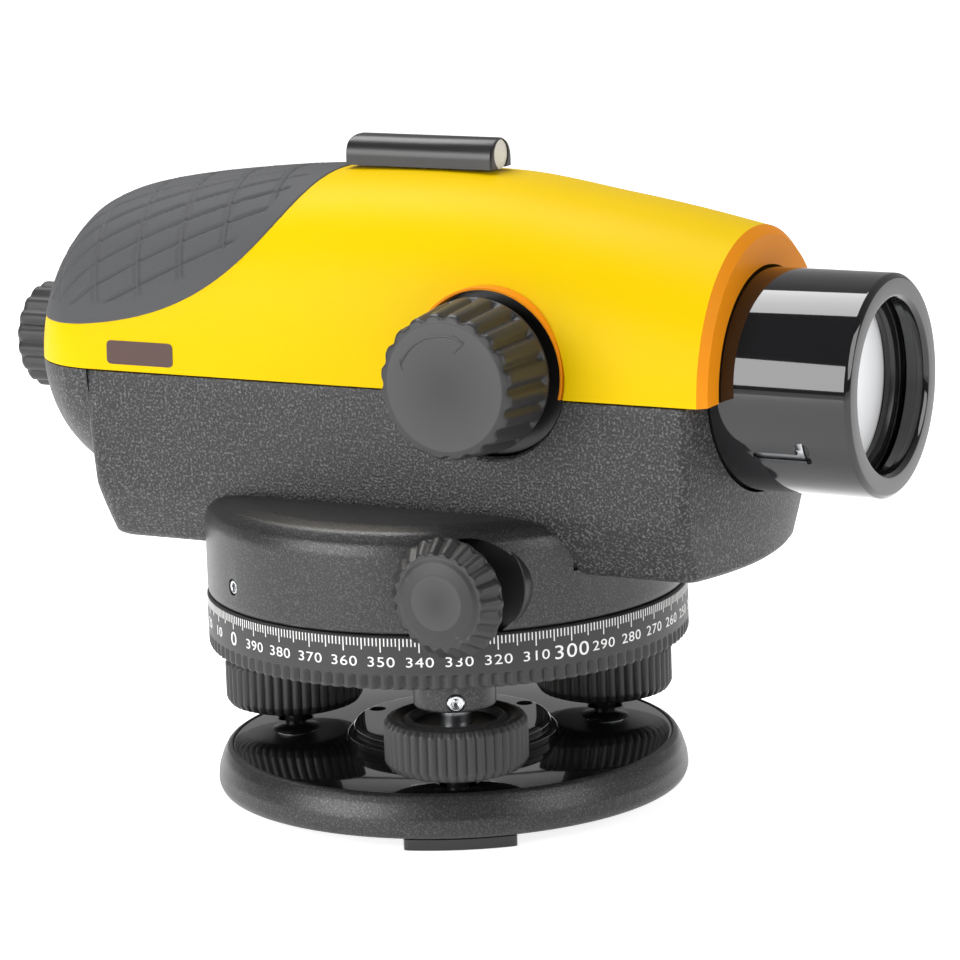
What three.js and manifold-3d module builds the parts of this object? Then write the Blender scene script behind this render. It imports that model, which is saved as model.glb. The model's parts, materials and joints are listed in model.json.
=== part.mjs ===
// An automatic level: a surveyor's telescope that keeps its own line of sight horizontal.
// Millimetres, +Z up. The origin is the middle of the underside of the base plate, on the vertical
// axis. +X is the way the telescope looks, and -Y is the side with the focusing knob.
// Heights in this file are counted from a level GROUND above that underside.
import * as THREE from "three";
import { mergeVertices } from "three/addons/utils/BufferGeometryUtils.js";
import Module from "manifold-3d";

const wasm = await Module();
wasm.setup();

// ---- driving dimensions ----
const GROUND = 3.7; // depth of the underside below the level that heights are counted from
const GAP = 0.3; // between pieces that lie against each other
const SIGHT_Z = 93.2; // height of the line of sight
const SPLIT_Z = 92; // where the cover meets the lower casting
const BODY_HALF = 31; // half the width of the body
const WALL = 2.6; // body castings

// base
const BASE_R = 52.1;
const BASE_TOP = 8.6;
const FLOOR_TOP = 2.4; // bottom of the trough under the sprung plate
const RIM_BOTTOM = -1.4;
const PLATE_R = 48.6; // sprung plate inside the rim
const PLATE_Z = [7.2, 8.4];
const THREAD_R = 6.85; // minor radius of a 5/8 inch tripod thread
const COLLAR_R = 23.3;
const COLLAR_TOP = 12.3;
const COLLAR_SCREW_RADIUS = 19;

// foot screws
const FEET = { a: -60, b: 180, c: 60 }; // angle of each screw about the vertical axis
const FOOT_RADIUS = 40.4;
const BALL_Z = 4.6;
const BALL_R = 3.6;
const KNOB_R = 15.4;
const KNOB_Z = [11.7, 23.7];
const SPINDLE_R = 3.4;

// levelling head, circle and turret
const COLUMN_R = 8.8;
const COLUMN_Z = 26;
const HEAD_Z = [32.4, 36.5];
const HEAD_R = 48.8;
const CIRCLE_R = 52.9;
const CIRCLE_Z = [32.05, 43.7];
const TURRET_R = 52.7;
const TURRET_Z = [43.9, 66.5];
const TURRET_WALL = 3.6;
const POCKET_Z = 58.5; // underside of the casting's floor inside the turret
const INDEX_ANGLE = -122;
const BUSH_R = 12;
const AXLE_R = 8;

// tangent drive
const WORM_X = 28;
const WORM_Z = 53;
const WORM_R = 4;
const WHEEL_R = WORM_X - WORM_R - 0.2;

// body
const BODY_X = [-93.2, 78.3];
const TAIL_X = -73.8; // where the flat rear wall ends and the dome goes on
const CASTING_Z = 53.6;
const CHAMFER_Z = 66.5;
const CHAMFER_HALF = 25; // half width of the casting's underside
const TAIL_HOLE_R = 12.9;
const TAIL_HOLE_X = [-110, -86];
const NOSE_HOLE_R = 23.6;
const GRIP_DEPTH = 1.6;

// telescope
const TUBE_R = 19.5;
const TUBE_BORE = 17.6;
const BARREL_R = 22.4;
const HOOD_R = 23.5;
const HOOD_X = [67, 107];
const FOCUS = { x: 27.9, z: 97, r: 16.5, recess: 18 };
const PINION_R = 1.9;
const SWING = { x: -44, z: 111 }; // the pendulum's hinge line
const EYE_KNOB_R = 12;

const rad = THREE.MathUtils.degToRad;

// ---- solids ----
function solid(geometry) {
  geometry.deleteAttribute("normal");
  geometry.deleteAttribute("uv");
  const merged = mergeVertices(geometry, 1e-4);
  const corners = merged.index.array;
  const triangles = [];
  for (let i = 0; i < corners.length; i += 3) {
    const [a, b, c] = [corners[i], corners[i + 1], corners[i + 2]];
    const isFlatTriangle = a === b || b === c || c === a;
    if (!isFlatTriangle) triangles.push(a, b, c);
  }
  const vertProperties = new Float32Array(merged.attributes.position.array);
  const triVerts = new Uint32Array(triangles);
  return new wasm.Manifold(new wasm.Mesh({ numProp: 3, vertProperties, triVerts }));
}

const join = (first, ...others) => others.reduce((whole, next) => whole.add(next), first);
const cut = (first, ...others) => others.reduce((whole, next) => whole.subtract(next), first);
const common = (first, ...others) => others.reduce((whole, next) => whole.intersect(next), first);

const TO_PLANE = {
  xy: new THREE.Matrix4(),
  xz: new THREE.Matrix4().set(1, 0, 0, 0, 0, 0, -1, 0, 0, 1, 0, 0, 0, 0, 0, 1),
  yz: new THREE.Matrix4().set(0, 0, 1, 0, 1, 0, 0, 0, 0, 1, 0, 0, 0, 0, 0, 1),
};

const shapeOf = (points) => new THREE.Shape(points.map(([u, v]) => new THREE.Vector2(u, v)));

// An outline in one plane, pushed along the third axis from one place to another.
function extruded(outline, plane, from, to) {
  const shape = outline instanceof THREE.Shape ? outline : shapeOf(outline);
  const geometry = new THREE.ExtrudeGeometry(shape, { depth: to - from, bevelEnabled: false });
  geometry.translate(0, 0, plane === "xz" ? -to : from);
  return solid(geometry.applyMatrix4(TO_PLANE[plane]));
}

// A profile of [radius, height] points turned about an axis through the origin.
function turned(profile, axis = "z", segments = 20) {
  const area = profile.reduce((sum, [r, h], i) => {
    const [nextR, nextH] = profile[(i + 1) % profile.length];
    return sum + r * nextH - nextR * h;
  }, 0);
  const points = (area > 0 ? profile : [...profile].reverse()).map(([r, h]) => new THREE.Vector2(r, h));
  const meetsAxis = points[0].x === 0 && points.at(-1).x === 0;
  if (!meetsAxis) points.push(points[0].clone());
  const geometry = new THREE.LatheGeometry(points, segments);
  if (axis === "z") geometry.rotateX(Math.PI / 2);
  if (axis === "x") geometry.rotateZ(-Math.PI / 2);
  return solid(geometry);
}

const tube = (outer, inner, from, to, axis = "z", segments = 20) =>
  turned([[inner, from], [outer, from], [outer, to], [inner, to]], axis, segments);
const rod = (radius, from, to, axis = "z", segments = 12) =>
  turned([[0, from], [radius, from], [radius, to], [0, to]], axis, segments);

function block(x, y, z) {
  const geometry = new THREE.BoxGeometry(x[1] - x[0], y[1] - y[0], z[1] - z[0]);
  geometry.translate((x[0] + x[1]) / 2, (y[0] + y[1]) / 2, (z[0] + z[1]) / 2);
  return solid(geometry);
}

const around = (angle, radius) => [radius * Math.cos(rad(angle)), radius * Math.sin(rad(angle))];

// ---- the group and its meshes ----
const level = new THREE.Group();
level.position.z = GROUND;

const FINISH = {
  charcoal: { color: 0x4a4a4c, roughness: 0.6, metalness: 0.4 },
  black: { color: 0x0c0c0d, roughness: 0.1, metalness: 0.3 },
  yellow: { color: 0xfde405, roughness: 0.4, metalness: 0 },
  rubber: { color: 0x3a3a3c, roughness: 0.85, metalness: 0 },
  knob: { color: 0x4c4c4e, roughness: 0.55, metalness: 0.2 },
  steel: { color: 0xb8bbc0, roughness: 0.3, metalness: 1 },
  brass: { color: 0xc09a4a, roughness: 0.35, metalness: 1 },
  alloy: { color: 0x8d9094, roughness: 0.45, metalness: 0.9 },
  glass: { color: 0xe6eef2, roughness: 0.05, metalness: 0 },
};

function piece(name, manifold, finish, place = [0, 0, 0], turn = 0) {
  const { vertProperties, triVerts } = manifold.getMesh();
  const geometry = new THREE.BufferGeometry();
  geometry.setAttribute("position", new THREE.BufferAttribute(vertProperties, 3));
  geometry.setIndex(new THREE.BufferAttribute(triVerts, 1));
  const mesh = new THREE.Mesh(geometry, new THREE.MeshStandardMaterial(FINISH[finish]));
  mesh.name = name;
  mesh.position.set(...place);
  mesh.rotation.z = rad(turn);
  level.add(mesh);
}

// ---- base ----
function basePlate() {
  const dish = turned([
    [BUSH_R, -GROUND], [30, -GROUND], [31, RIM_BOTTOM], [48.6, RIM_BOTTOM], [51.5, -0.6], [BASE_R, 0.8],
    [51.9, 3.5], [50.9, 6.5], [49.8, BASE_TOP], [PLATE_R + GAP, BASE_TOP],
    [PLATE_R + GAP, PLATE_Z[0] - GAP], [46, PLATE_Z[0] - GAP], [46, FLOOR_TOP], [COLLAR_R, FLOOR_TOP],
    [COLLAR_R, 9.9], [COLLAR_R - 1.4, 9.9], [COLLAR_R - 1.4, COLLAR_TOP], [BUSH_R, COLLAR_TOP],
  ], "z", 32);
  const pads = [];
  const hollows = [];
  for (const angle of Object.values(FEET)) {
    const [x, y] = around(angle, FOOT_RADIUS);
    const sector = block([40, 52], [-12, 12], [-GROUND, RIM_BOTTOM + 0.2]);
    pads.push(common(tube(50, 43, -GROUND, RIM_BOTTOM + 0.2, "z", 32), sector.rotate([0, 0, angle])));
    hollows.push(rod(6.2, 0.7, FLOOR_TOP + 4, "z", 12).translate([x, y, 0]));
    const [screwX, screwY] = around(angle, COLLAR_SCREW_RADIUS);
    hollows.push(rod(1.7, COLLAR_TOP - 1.2, COLLAR_TOP + 1, "z", 8).translate([screwX, screwY, 0]));
  }
  return cut(join(dish, ...pads), ...hollows);
}

function springPlate() {
  const holes = Object.values(FEET).map((angle) => {
    const [x, y] = around(angle, FOOT_RADIUS);
    return rod(3.9, PLATE_Z[0] - 1, PLATE_Z[1] + 1, "z", 12).translate([x, y, 0]);
  });
  return cut(tube(PLATE_R, COLLAR_R + GAP, ...PLATE_Z, "z", 32), ...holes);
}

const threadInsert = () => tube(BUSH_R - 0.2, THREAD_R, 0.2 - GROUND, COLLAR_TOP - 0.2);

function footSeat() {
  const hollow = solid(new THREE.SphereGeometry(BALL_R + GAP, 10, 6)).translate([0, 0, BALL_Z]);
  return cut(rod(5.8, BALL_Z - 3.7, BALL_Z - 0.6), hollow, rod(1.2, BALL_Z - 4.4, BALL_Z - 2.4));
}

function addBase() {
  piece("base_plate", basePlate(), "charcoal");
  piece("thread_insert", threadInsert(), "brass");
  piece("spring_plate", springPlate(), "black");
}

// ---- foot screws ----
function footBall() {
  const ball = solid(new THREE.SphereGeometry(BALL_R, 10, 6)).translate([0, 0, BALL_Z]);
  return join(ball, rod(2.4, BALL_Z, KNOB_Z[0] - 0.6));
}

const footSpindle = () => rod(SPINDLE_R, KNOB_Z[0] - 0.5, 33.4);

function footKnob() {
  const [bottom, top] = KNOB_Z;
  return turned([
    [SPINDLE_R + 0.2, bottom], [12.4, bottom], [KNOB_R, bottom + 2], [KNOB_R, top - 1.2],
    [KNOB_R - 1.2, top], [SPINDLE_R + 0.2, top],
  ]);
}

function addFeet() {
  for (const [letter, angle] of Object.entries(FEET)) {
    const place = [...around(angle, FOOT_RADIUS), 0];
    piece(`foot_seat_${letter}`, footSeat(), "steel", place);
    piece(`foot_ball_${letter}`, footBall(), "steel", place);
    piece(`foot_spindle_${letter}`, footSpindle(), "steel", place);
    piece(`foot_knob_${letter}`, footKnob(), "knob", place);
  }
}

// ---- levelling head ----
function levelingHead() {
  const hub = turned([
    [BUSH_R + GAP, 30], [17, 30], [19, HEAD_Z[0]], [HEAD_R, HEAD_Z[0]], [HEAD_R, HEAD_Z[1]],
    [17, HEAD_Z[1]], [17, 47], [BUSH_R + GAP, 47],
  ], "z", 32);
  const columns = [];
  const bores = [];
  for (const angle of Object.values(FEET)) {
    const [x, y] = around(angle, FOOT_RADIUS);
    columns.push(rod(COLUMN_R, COLUMN_Z, 31.9, "z", 20).translate([x, y, 0]));
    columns.push(rod(COLUMN_R - 0.8, 31, HEAD_Z[1] - 0.1, "z", 20).translate([x, y, 0]));
    bores.push(rod(SPINDLE_R + 0.5, COLUMN_Z - 1, 35.4, "z", 12).translate([x, y, 0]));
    bores.push(rod(2, 0, 12, "x", 10).rotate([0, 0, angle]).translate([x, y, 28.2]));
  }
  return cut(join(hub, ...columns), ...bores);
}

const setScrew = () =>
  cut(rod(1.8, 4.4, COLUMN_R, "x", 10), rod(0.9, COLUMN_R - 1.5, COLUMN_R + 1, "x", 6));

function addHead() {
  piece("leveling_head", levelingHead(), "charcoal");
  piece("spindle_bush", tube(BUSH_R, AXLE_R + 0.2, 28.2, 56.2), "brass");
  for (const [letter, angle] of Object.entries(FEET)) {
    const [x, y] = around(angle, FOOT_RADIUS);
    piece(`set_screw_${letter}`, setScrew(), "steel", [x, y, 28.2], angle);
  }
}

// ---- horizontal circle and tangent drive ----
function circleRing() {
  const [bottom, top] = CIRCLE_Z;
  const inner = HEAD_R + 0.4;
  const web = [HEAD_Z[1] + GAP, 38.4];
  return turned([
    [inner, bottom], [CIRCLE_R, bottom], [CIRCLE_R, top], [inner, top], [inner, web[1]],
    [42, web[1]], [42, web[0]], [inner, web[0]],
  ], "z", 32);
}

const wormWheel = () =>
  turned([
    [BUSH_R + GAP, 47.4], [16, 47.4], [16, WORM_Z - 3], [WHEEL_R, WORM_Z - 3],
    [WHEEL_R, WORM_Z + 3], [BUSH_R + GAP, WORM_Z + 3],
  ], "z", 24);

const wormShaft = () =>
  turned([
    [0, -52], [2.4, -52], [2.4, -9], [WORM_R, -8], [WORM_R, 8], [2.4, 9], [2.4, 52], [0, 52],
  ], "y", 12);

const fineKnob = () =>
  turned([
    [0, -56], [10, -56], [13, -51.2], [13, -50.4], [7.6, -49], [7.6, -42], [2.5, -42], [2.5, -52.3],
    [0, -52.3],
  ], "y", 16);

function addDrive() {
  piece("circle_ring", circleRing(), "charcoal");
  piece("worm_wheel", wormWheel(), "brass");
  piece("fine_shaft", wormShaft(), "steel", [WORM_X, 0, WORM_Z]);
  piece("fine_knob_near", fineKnob(), "knob", [WORM_X, 0, WORM_Z]);
  piece("fine_knob_far", fineKnob().rotate([0, 0, 180]), "knob", [WORM_X, 0, WORM_Z]);
}

// ---- body castings ----
// An outline of points, each placed by a rule at every station along the way.
function lofted(outline, stations, place) {
  const shape = shapeOf(outline);
  const steps = stations.length - 1;
  const geometry = new THREE.ExtrudeGeometry(shape, { depth: steps, steps, bevelEnabled: false });
  const positions = geometry.attributes.position;
  for (let i = 0; i < positions.count; i += 1) {
    const station = stations[Math.round(positions.getZ(i))];
    positions.setXYZ(i, ...place(positions.getX(i), positions.getY(i), station));
  }
  return solid(geometry);
}

// A smooth line through [x, value] points, read at one x.
function along(points, x) {
  const last = points.length - 1;
  if (x <= points[0][0]) return points[0][1];
  if (x >= points[last][0]) return points[last][1];
  const i = points.findIndex(([nextX]) => nextX > x) - 1;
  const [x0, v0] = points[i];
  const [x1, v1] = points[i + 1];
  const slopeAt = (k) => {
    const [before, after] = [points[Math.max(k - 1, 0)], points[Math.min(k + 1, last)]];
    return (after[1] - before[1]) / (after[0] - before[0]);
  };
  const t = (x - x0) / (x1 - x0);
  const span = x1 - x0;
  const start = v0 * (1 + 2 * t) * (1 - t) ** 2 + span * slopeAt(i) * t * (1 - t) ** 2;
  return start + v1 * t * t * (3 - 2 * t) + span * slopeAt(i + 1) * t * t * (t - 1);
}

// The crown's height above the split line and the body's half width, from the eyepiece end forwards.
const CROWN = [[-93.2, 13.6], [-91.6, 18], [-88.3, 24], [-84.2, 29.2], [-78.4, 33.9], [-68.1, 37.5],
  [-46, 40.8], [-21, 42.7], [18, 42.6], [44, 39.1], [60, 36.6], [78.3, 33.1]];
const FLANK = [[-93.2, 13.6], [-91.6, 17.2], [-88.3, 22.3], [-84.2, 26.3], [-78.4, 29.6], [-71, 31],
  [78.3, 31]];
const SQUARENESS = [[-93.2, 2], [-74, 2.3], [-20, 2.5], [18, 2.5], [78.3, 2]]; // 2 is a true ellipse
const CROWN_STEPS = 10;
const COVER_STEPS = 9;

const ARCH = Array.from({ length: CROWN_STEPS + 1 }, (_, i) => {
  const angle = (i / CROWN_STEPS) * Math.PI;
  return [Math.cos(angle), Math.sin(angle)];
});

function coverForm(inset, [rear, front], bottom) {
  const stations = Array.from({ length: COVER_STEPS + 1 }, (_, i) => {
    const share = 1 - Math.cos((i / COVER_STEPS) * (Math.PI / 2));
    return rear + (front - rear) * share;
  });
  return lofted(ARCH, stations, (u, v, x) => {
    const power = 2 / along(SQUARENESS, x);
    const height = (along(CROWN, x) - inset) * Math.max(v, 0) ** power;
    const half = along(FLANK, x) - inset;
    return [x, Math.sign(u) * half * Math.abs(u) ** power, v > 1e-6 ? SPLIT_Z + height : bottom];
  });
}

// The part of the body's side view that the moulded grip covers.
function gripRegion(shift) {
  const outline = new THREE.Shape();
  outline.moveTo(-18 + shift, 140);
  outline.bezierCurveTo(-30 + shift, 112, -50, 101.5 - shift, -84, 101.3 - shift);
  outline.lineTo(-110, 101.3 - shift);
  outline.lineTo(-110, 140);
  return extruded(outline, "xz", -40, 40);
}

const focusCylinder = (radius, from, to) =>
  rod(radius, from, to, "y", 24).translate([FOCUS.x, 0, FOCUS.z]);
const opticCylinder = (radius, from, to) => rod(radius, from, to, "x", 24).translate([0, 0, SIGHT_Z]);

function topCover() {
  const outside = coverForm(0, BODY_X, SPLIT_Z + 0.15);
  const underGrip = coverForm(GRIP_DEPTH + GAP, BODY_X, SPLIT_Z + 0.15);
  const skin = join(cut(outside, gripRegion(GAP)), common(underGrip, gripRegion(GAP + 0.5)));
  const shell = cut(skin, coverForm(WALL + GRIP_DEPTH, [-89, BODY_X[1] - WALL], SPLIT_Z - 2));
  const backing = common(outside, focusCylinder(FOCUS.recess + 2.5, -30, -25));
  return cut(
    join(shell, backing),
    focusCylinder(FOCUS.recess, -40, -27.5),
    focusCylinder(3.1, -30, -20),
    opticCylinder(TAIL_HOLE_R, ...TAIL_HOLE_X),
    opticCylinder(NOSE_HOLE_R, 70, 90),
  );
}

function rubberGrip() {
  const sleeve = cut(coverForm(0, BODY_X, SPLIT_Z + 1), coverForm(GRIP_DEPTH, BODY_X, SPLIT_Z));
  return cut(common(sleeve, gripRegion(0)), opticCylinder(TAIL_HOLE_R, ...TAIL_HOLE_X));
}

// The casting seen from above: flat sides, a bowed nose and rounded corners.
const NOSE_BOW = 4.4;
const CASTING_PLAN = (() => {
  const half = BODY_HALF;
  const outline = [[TAIL_X, -half + 5], [TAIL_X + 1.5, -half + 1.5], [TAIL_X + 5, -half]];
  for (let i = 0; i <= 6; i += 1) {
    const y = -half + (i / 3) * half;
    outline.push([BODY_X[1] - NOSE_BOW * (y / half) ** 2 - (i % 6 ? 0 : 1.2), y]);
  }
  outline.push([TAIL_X + 5, half], [TAIL_X + 1.5, half - 1.5], [TAIL_X, half - 5]);
  return outline;
})();

const TAIL_LEAN = 3.2; // how far the rear wall comes forward at the bottom
const NOSE_LEAN = 1.8; // how far the nose goes back there

function castingForm(inset, stations) {
  const length = (BODY_X[1] - TAIL_X) / 2;
  const middle = (BODY_X[1] + TAIL_X) / 2;
  return lofted(CASTING_PLAN, stations, (x, y, z) => {
    const down = Math.max((SPLIT_Z - z) / (SPLIT_Z - CASTING_Z), 0);
    const lean = x > 0 ? -NOSE_LEAN * down ** 2 : TAIL_LEAN * down ** 1.6;
    const upChamfer = Math.min((z - CASTING_Z) / (CHAMFER_Z - CASTING_Z), 1);
    const half = CHAMFER_HALF + (BODY_HALF - CHAMFER_HALF) * upChamfer;
    const insetX = middle + (x - middle) * ((length - inset) / length);
    return [insetX + lean, (y / BODY_HALF) * (half - inset), z];
  });
}

function tailDome(inset, from) {
  const profile = [[0, from]];
  for (let i = 0; i <= 8; i += 1) {
    const x = from + (TAIL_X - from) * (1 - Math.cos((i / 8) * Math.PI / 2));
    profile.push([along(FLANK, x) - inset, x]);
  }
  profile.push([BODY_HALF - inset, -70], [0, -70]);
  return turned(profile, "x", 24).translate([0, 0, SIGHT_Z]);
}

function lowerCasting() {
  const top = SPLIT_Z - 0.15;
  const tub = castingForm(0, [CASTING_Z, 61, CHAMFER_Z, 78, top]);
  const belowSplit = block([-120, 100], [-60, 60], [40, top]);
  const dome = common(tailDome(0, BODY_X[0]), belowSplit);
  const hollow = castingForm(WALL, [62, CHAMFER_Z, 78, 100]);
  const backing = common(tub, focusCylinder(FOCUS.recess + 2.5, -30, -25));
  return cut(
    join(cut(join(tub, dome), hollow, tailDome(WALL, -90.4)), backing),
    focusCylinder(FOCUS.recess, -40, -27.5),
    rod(TURRET_R - TURRET_WALL - 1, 40, POCKET_Z, "z", 32),
    opticCylinder(TAIL_HOLE_R, ...TAIL_HOLE_X),
    opticCylinder(NOSE_HOLE_R, 70, 90),
  );
}

function turret() {
  const [bottom, top] = TURRET_Z;
  const drum = turned([
    [0, bottom], [TURRET_R - 0.3, bottom], [TURRET_R, bottom + 1.5], [TURRET_R, 61.5],
    [TURRET_R - 1.2, 64.2], [TURRET_R - 4, 66], [TURRET_R - 8, top], [0, top],
  ], "z", 32);
  const room = rod(TURRET_R - TURRET_WALL, bottom - 1, 62, "z", 32);
  const lugs = [-1, 1].map((side) => {
    const boss = rod(12.6, -41.5, -34, "y", 24).translate([WORM_X, 0, WORM_Z]);
    return side < 0 ? boss : boss.mirror([0, 1, 0]);
  });
  const trimmedLugs = lugs.map((lug) => common(lug, rod(TURRET_R - 1, bottom, 62.5, "z", 32)));
  const recesses = [-1, 1].map((side) => {
    const hole = join(rod(11, -60, -37.5, "y", 24), rod(2.7, -38, -30, "y", 12));
    const placed = hole.translate([WORM_X, 0, WORM_Z]);
    return side < 0 ? placed : placed.mirror([0, 1, 0]);
  });
  const bodyRoom = castingForm(-GAP, [CASTING_Z - GAP, 61, CHAMFER_Z, 78]);
  const indexHole = rod(1.8, 45, 60, "x", 10).rotate([0, 0, INDEX_ANGLE]).translate([0, 0, 49.4]);
  return cut(join(cut(drum, room), ...trimmedLugs), bodyRoom, ...recesses, indexHole);
}

const bodySpindle = () =>
  turned([
    [0, 24], [5.9, 24], [5.9, 28], [AXLE_R, 28], [AXLE_R, 56.8], [19, 56.8], [19, POCKET_Z - 0.2],
    [0, POCKET_Z - 0.2],
  ], "z", 20);

function spindleNut() {
  const hexagon = Array.from({ length: 6 }, (_, i) => around(i * 60, 11.5));
  return cut(extruded(hexagon, "xy", 24.4, 27.8), rod(6.1, 20, 30, "z", 20));
}

const indexScrew = () =>
  cut(rod(1.6, TURRET_R - 3.4, TURRET_R - 0.2, "x", 10), rod(0.8, TURRET_R - 1.4, TURRET_R, "x", 6));

function addBody() {
  piece("lower_casting", lowerCasting(), "charcoal");
  piece("turret", turret(), "charcoal");
  piece("body_spindle", bodySpindle(), "steel");
  piece("spindle_nut", spindleNut(), "steel");
  piece("index_screw", indexScrew(), "steel", [0, 0, 49.4], INDEX_ANGLE);
  piece("top_cover", topCover(), "yellow");
  piece("rubber_grip", rubberGrip(), "rubber");
}

// ---- open sight on the crown ----
const SIGHT = { x: [-19, 16.8], half: 4.5, z: [135.8, 142] };

function sightBody() {
  const { half, z } = SIGHT;
  const outline = new THREE.Shape();
  outline.moveTo(-half, z[0]);
  outline.lineTo(half, z[0]);
  outline.lineTo(half, z[1] - half);
  outline.absarc(0, z[1] - half, half, 0, Math.PI, false);
  const bar = extruded(outline, "yz", ...SIGHT.x);
  const window = rod(3.4, SIGHT.x[1] - 1, SIGHT.x[1] + 1, "x").translate([0, 0, 138.8]);
  return cut(bar, window);
}

const sightWindow = () => rod(3.2, SIGHT.x[1] - 0.9, SIGHT.x[1] - 0.2, "x").translate([0, 0, 138.8]);

// ---- telescope ----
function telescopeTube() {
  const shell = turned([
    [TUBE_BORE, -18], [TUBE_R, -18], [TUBE_R, 58], [BARREL_R, 61.5], [BARREL_R, 95], [20.4, 95],
    [20.4, 90.4], [TUBE_BORE, 90.4],
  ], "x", 24).translate([0, 0, SIGHT_Z]);
  return cut(shell, block([-2, 58], [-30, -8], [91, 100]));
}

function objectiveCell() {
  return turned([
    [16.8, 90.6], [20.2, 90.6], [20.2, 95.2], [22.3, 95.2], [22.3, 100.2], [19.6, 100.2],
    [19.6, 97.6], [18.6, 97.6], [18.6, 91.4], [16.8, 91.4],
  ], "x", 24).translate([0, 0, SIGHT_Z]);
}

// A round lens: rim thickness from one place to another, with each face bulging by its sag.
function lens(radius, from, to, sagBack, sagFront) {
  const steps = 2;
  const back = [];
  const front = [];
  for (let i = 0; i <= steps; i += 1) {
    const r = (radius * i) / steps;
    const fall = 1 - (i / steps) ** 2;
    back.push([r, from - sagBack * fall]);
    front.unshift([r, to + sagFront * fall]);
  }
  return turned([...back, ...front], "x", 16).translate([0, 0, SIGHT_Z]);
}

function hood() {
  const [rear, front] = HOOD_X;
  const bore = BARREL_R + 0.3;
  const shell = turned([
    [bore, rear], [HOOD_R, rear], [HOOD_R, front - 0.7], [HOOD_R - 0.7, front], [18, front],
    [18, front - 2.4], [19.2, front - 2.4], [19.2, 101.4], [bore, 101.4],
  ], "x", 24).translate([0, 0, SIGHT_Z]);
  const slot = join(
    block([84, 97], [-30, -15], [-1.3, 1.3]),
    rod(1.9, -30, -15, "y", 16).translate([95.5, 0, 2.2]),
  );
  return cut(shell, slot.rotate([32, 0, 0]).translate([0, 0, SIGHT_Z]));
}

function addTelescope() {
  piece("sight_body", sightBody(), "black");
  piece("sight_window", sightWindow(), "glass");
  piece("telescope_tube", telescopeTube(), "alloy");
  piece("objective_cell", objectiveCell(), "black");
  piece("objective_crown", lens(18.4, 94.6, 96.9, 0, 2), "glass");
  piece("objective_flint", lens(18.4, 91.6, 94.4, -1, 0), "glass");
  piece("retaining_ring", tube(19.4, 17, 97.8, 99.8, "x", 24).translate([0, 0, SIGHT_Z]), "black");
  piece("hood", hood(), "black");
}

// ---- focusing ----
const focusKnob = () =>
  turned([
    [0, -49.2], [14.4, -49.2], [15.4, -48.2], [FOCUS.r, -34], [FOCUS.r - 1, -33], [2.7, -33],
    [2.7, -46.4], [0, -46.4],
  ], "y");

const focusShaft = () =>
  turned([
    [0, -46], [2.55, -46], [2.55, -23.5], [PINION_R, -23.4], [PINION_R, -17.5], [0, -17.5],
  ], "y", 12);

function lensCarriage() {
  const ring = tube(17.2, 13.2, 14, 30, "x", 24).translate([0, 0, SIGHT_Z]);
  const rack = block([8, 46], [-22, -16.4], [92, FOCUS.z - PINION_R - GAP]);
  return cut(join(ring, rack), rod(14.6, 17.6, 31, "x", 24).translate([0, 0, SIGHT_Z]));
}

function addFocusing() {
  piece("focus_knob", focusKnob(), "knob", [FOCUS.x, 0, FOCUS.z]);
  piece("focus_shaft", focusShaft(), "steel", [FOCUS.x, 0, FOCUS.z]);
  piece("lens_carriage", lensCarriage(), "brass");
  piece("focusing_lens", lens(14.4, 18.4, 21.6, -1, -0.8), "glass");
}

// ---- compensator ----
function compensatorFrame() {
  const { x, z } = SWING;
  const box = block([x - 16, x + 16], [-20, 20], [62.3, z + 5]);
  const inside = block([x - 13, x + 13], [-17.2, 17.2], [66, z + 10]);
  const bar = block([x - 2, x + 2], [-18, 18], [z + 1, z + 5]);
  return join(cut(box, inside, opticCylinder(11, x - 20, x + 20)), bar);
}

function pendulum() {
  const { x, z } = SWING;
  const plate = block([x - 8, x + 8], [-15, 15], [82, z - 6]);
  const window = block([x - 10, x + 10], [-11, 11], [86, z - 10]);
  const hanger = block([x - 1.5, x + 1.5], [-14, 14], [z - 8, z + 0.5]);
  const vane = block([x - 5, x + 5], [-10, 10], [73, 83]);
  return join(cut(plate, window), hanger, vane);
}

function swingingPrism() {
  const { x } = SWING;
  const outline = [
    [x - 7.5, 86.2], [x + 7.5, 86.2], [x + 7.5, 92], [x + 2, 99], [x - 2, 99], [x - 7.5, 92],
  ];
  return extruded(outline, "xz", -10.8, 10.8);
}

const fixedPrism = (from, to) =>
  extruded([[from, 84], [to, 84], [to, 101], [(from + to) / 2, 102], [from, 101]], "xz", -10, 10);

function addCompensator() {
  const { x } = SWING;
  piece("compensator_frame", compensatorFrame(), "alloy");
  piece("pendulum", pendulum(), "brass");
  piece("pendulum_prism", swingingPrism(), "glass");
  piece("front_prism", fixedPrism(x + 9.2, x + 12.8), "glass");
  piece("rear_prism", fixedPrism(x - 12.8, x - 9.2), "glass");
  piece("damper_magnet", block([x - 6, x + 6], [-8, 8], [66.2, 70.5]), "steel");
}

// ---- eyepiece ----
const eyepieceTube = () =>
  turned([[9.8, -91], [11.4, -91], [11.4, -72], [20, -72], [20, -69.6], [9.8, -69.6]], "x", 24)
    .translate([0, 0, SIGHT_Z]);
const eyepieceCell = () =>
  turned([[6.7, -95.6], [9.6, -95.6], [9.6, -76], [6.7, -76]], "x", 24).translate([0, 0, SIGHT_Z]);

const eyepieceKnob = () =>
  turned([
    [5.6, -103], [EYE_KNOB_R, -103], [EYE_KNOB_R, -93.8], [9.8, -93.8], [9.8, -97.4], [5.6, -97.4],
  ], "x").translate([0, 0, SIGHT_Z]);

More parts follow.
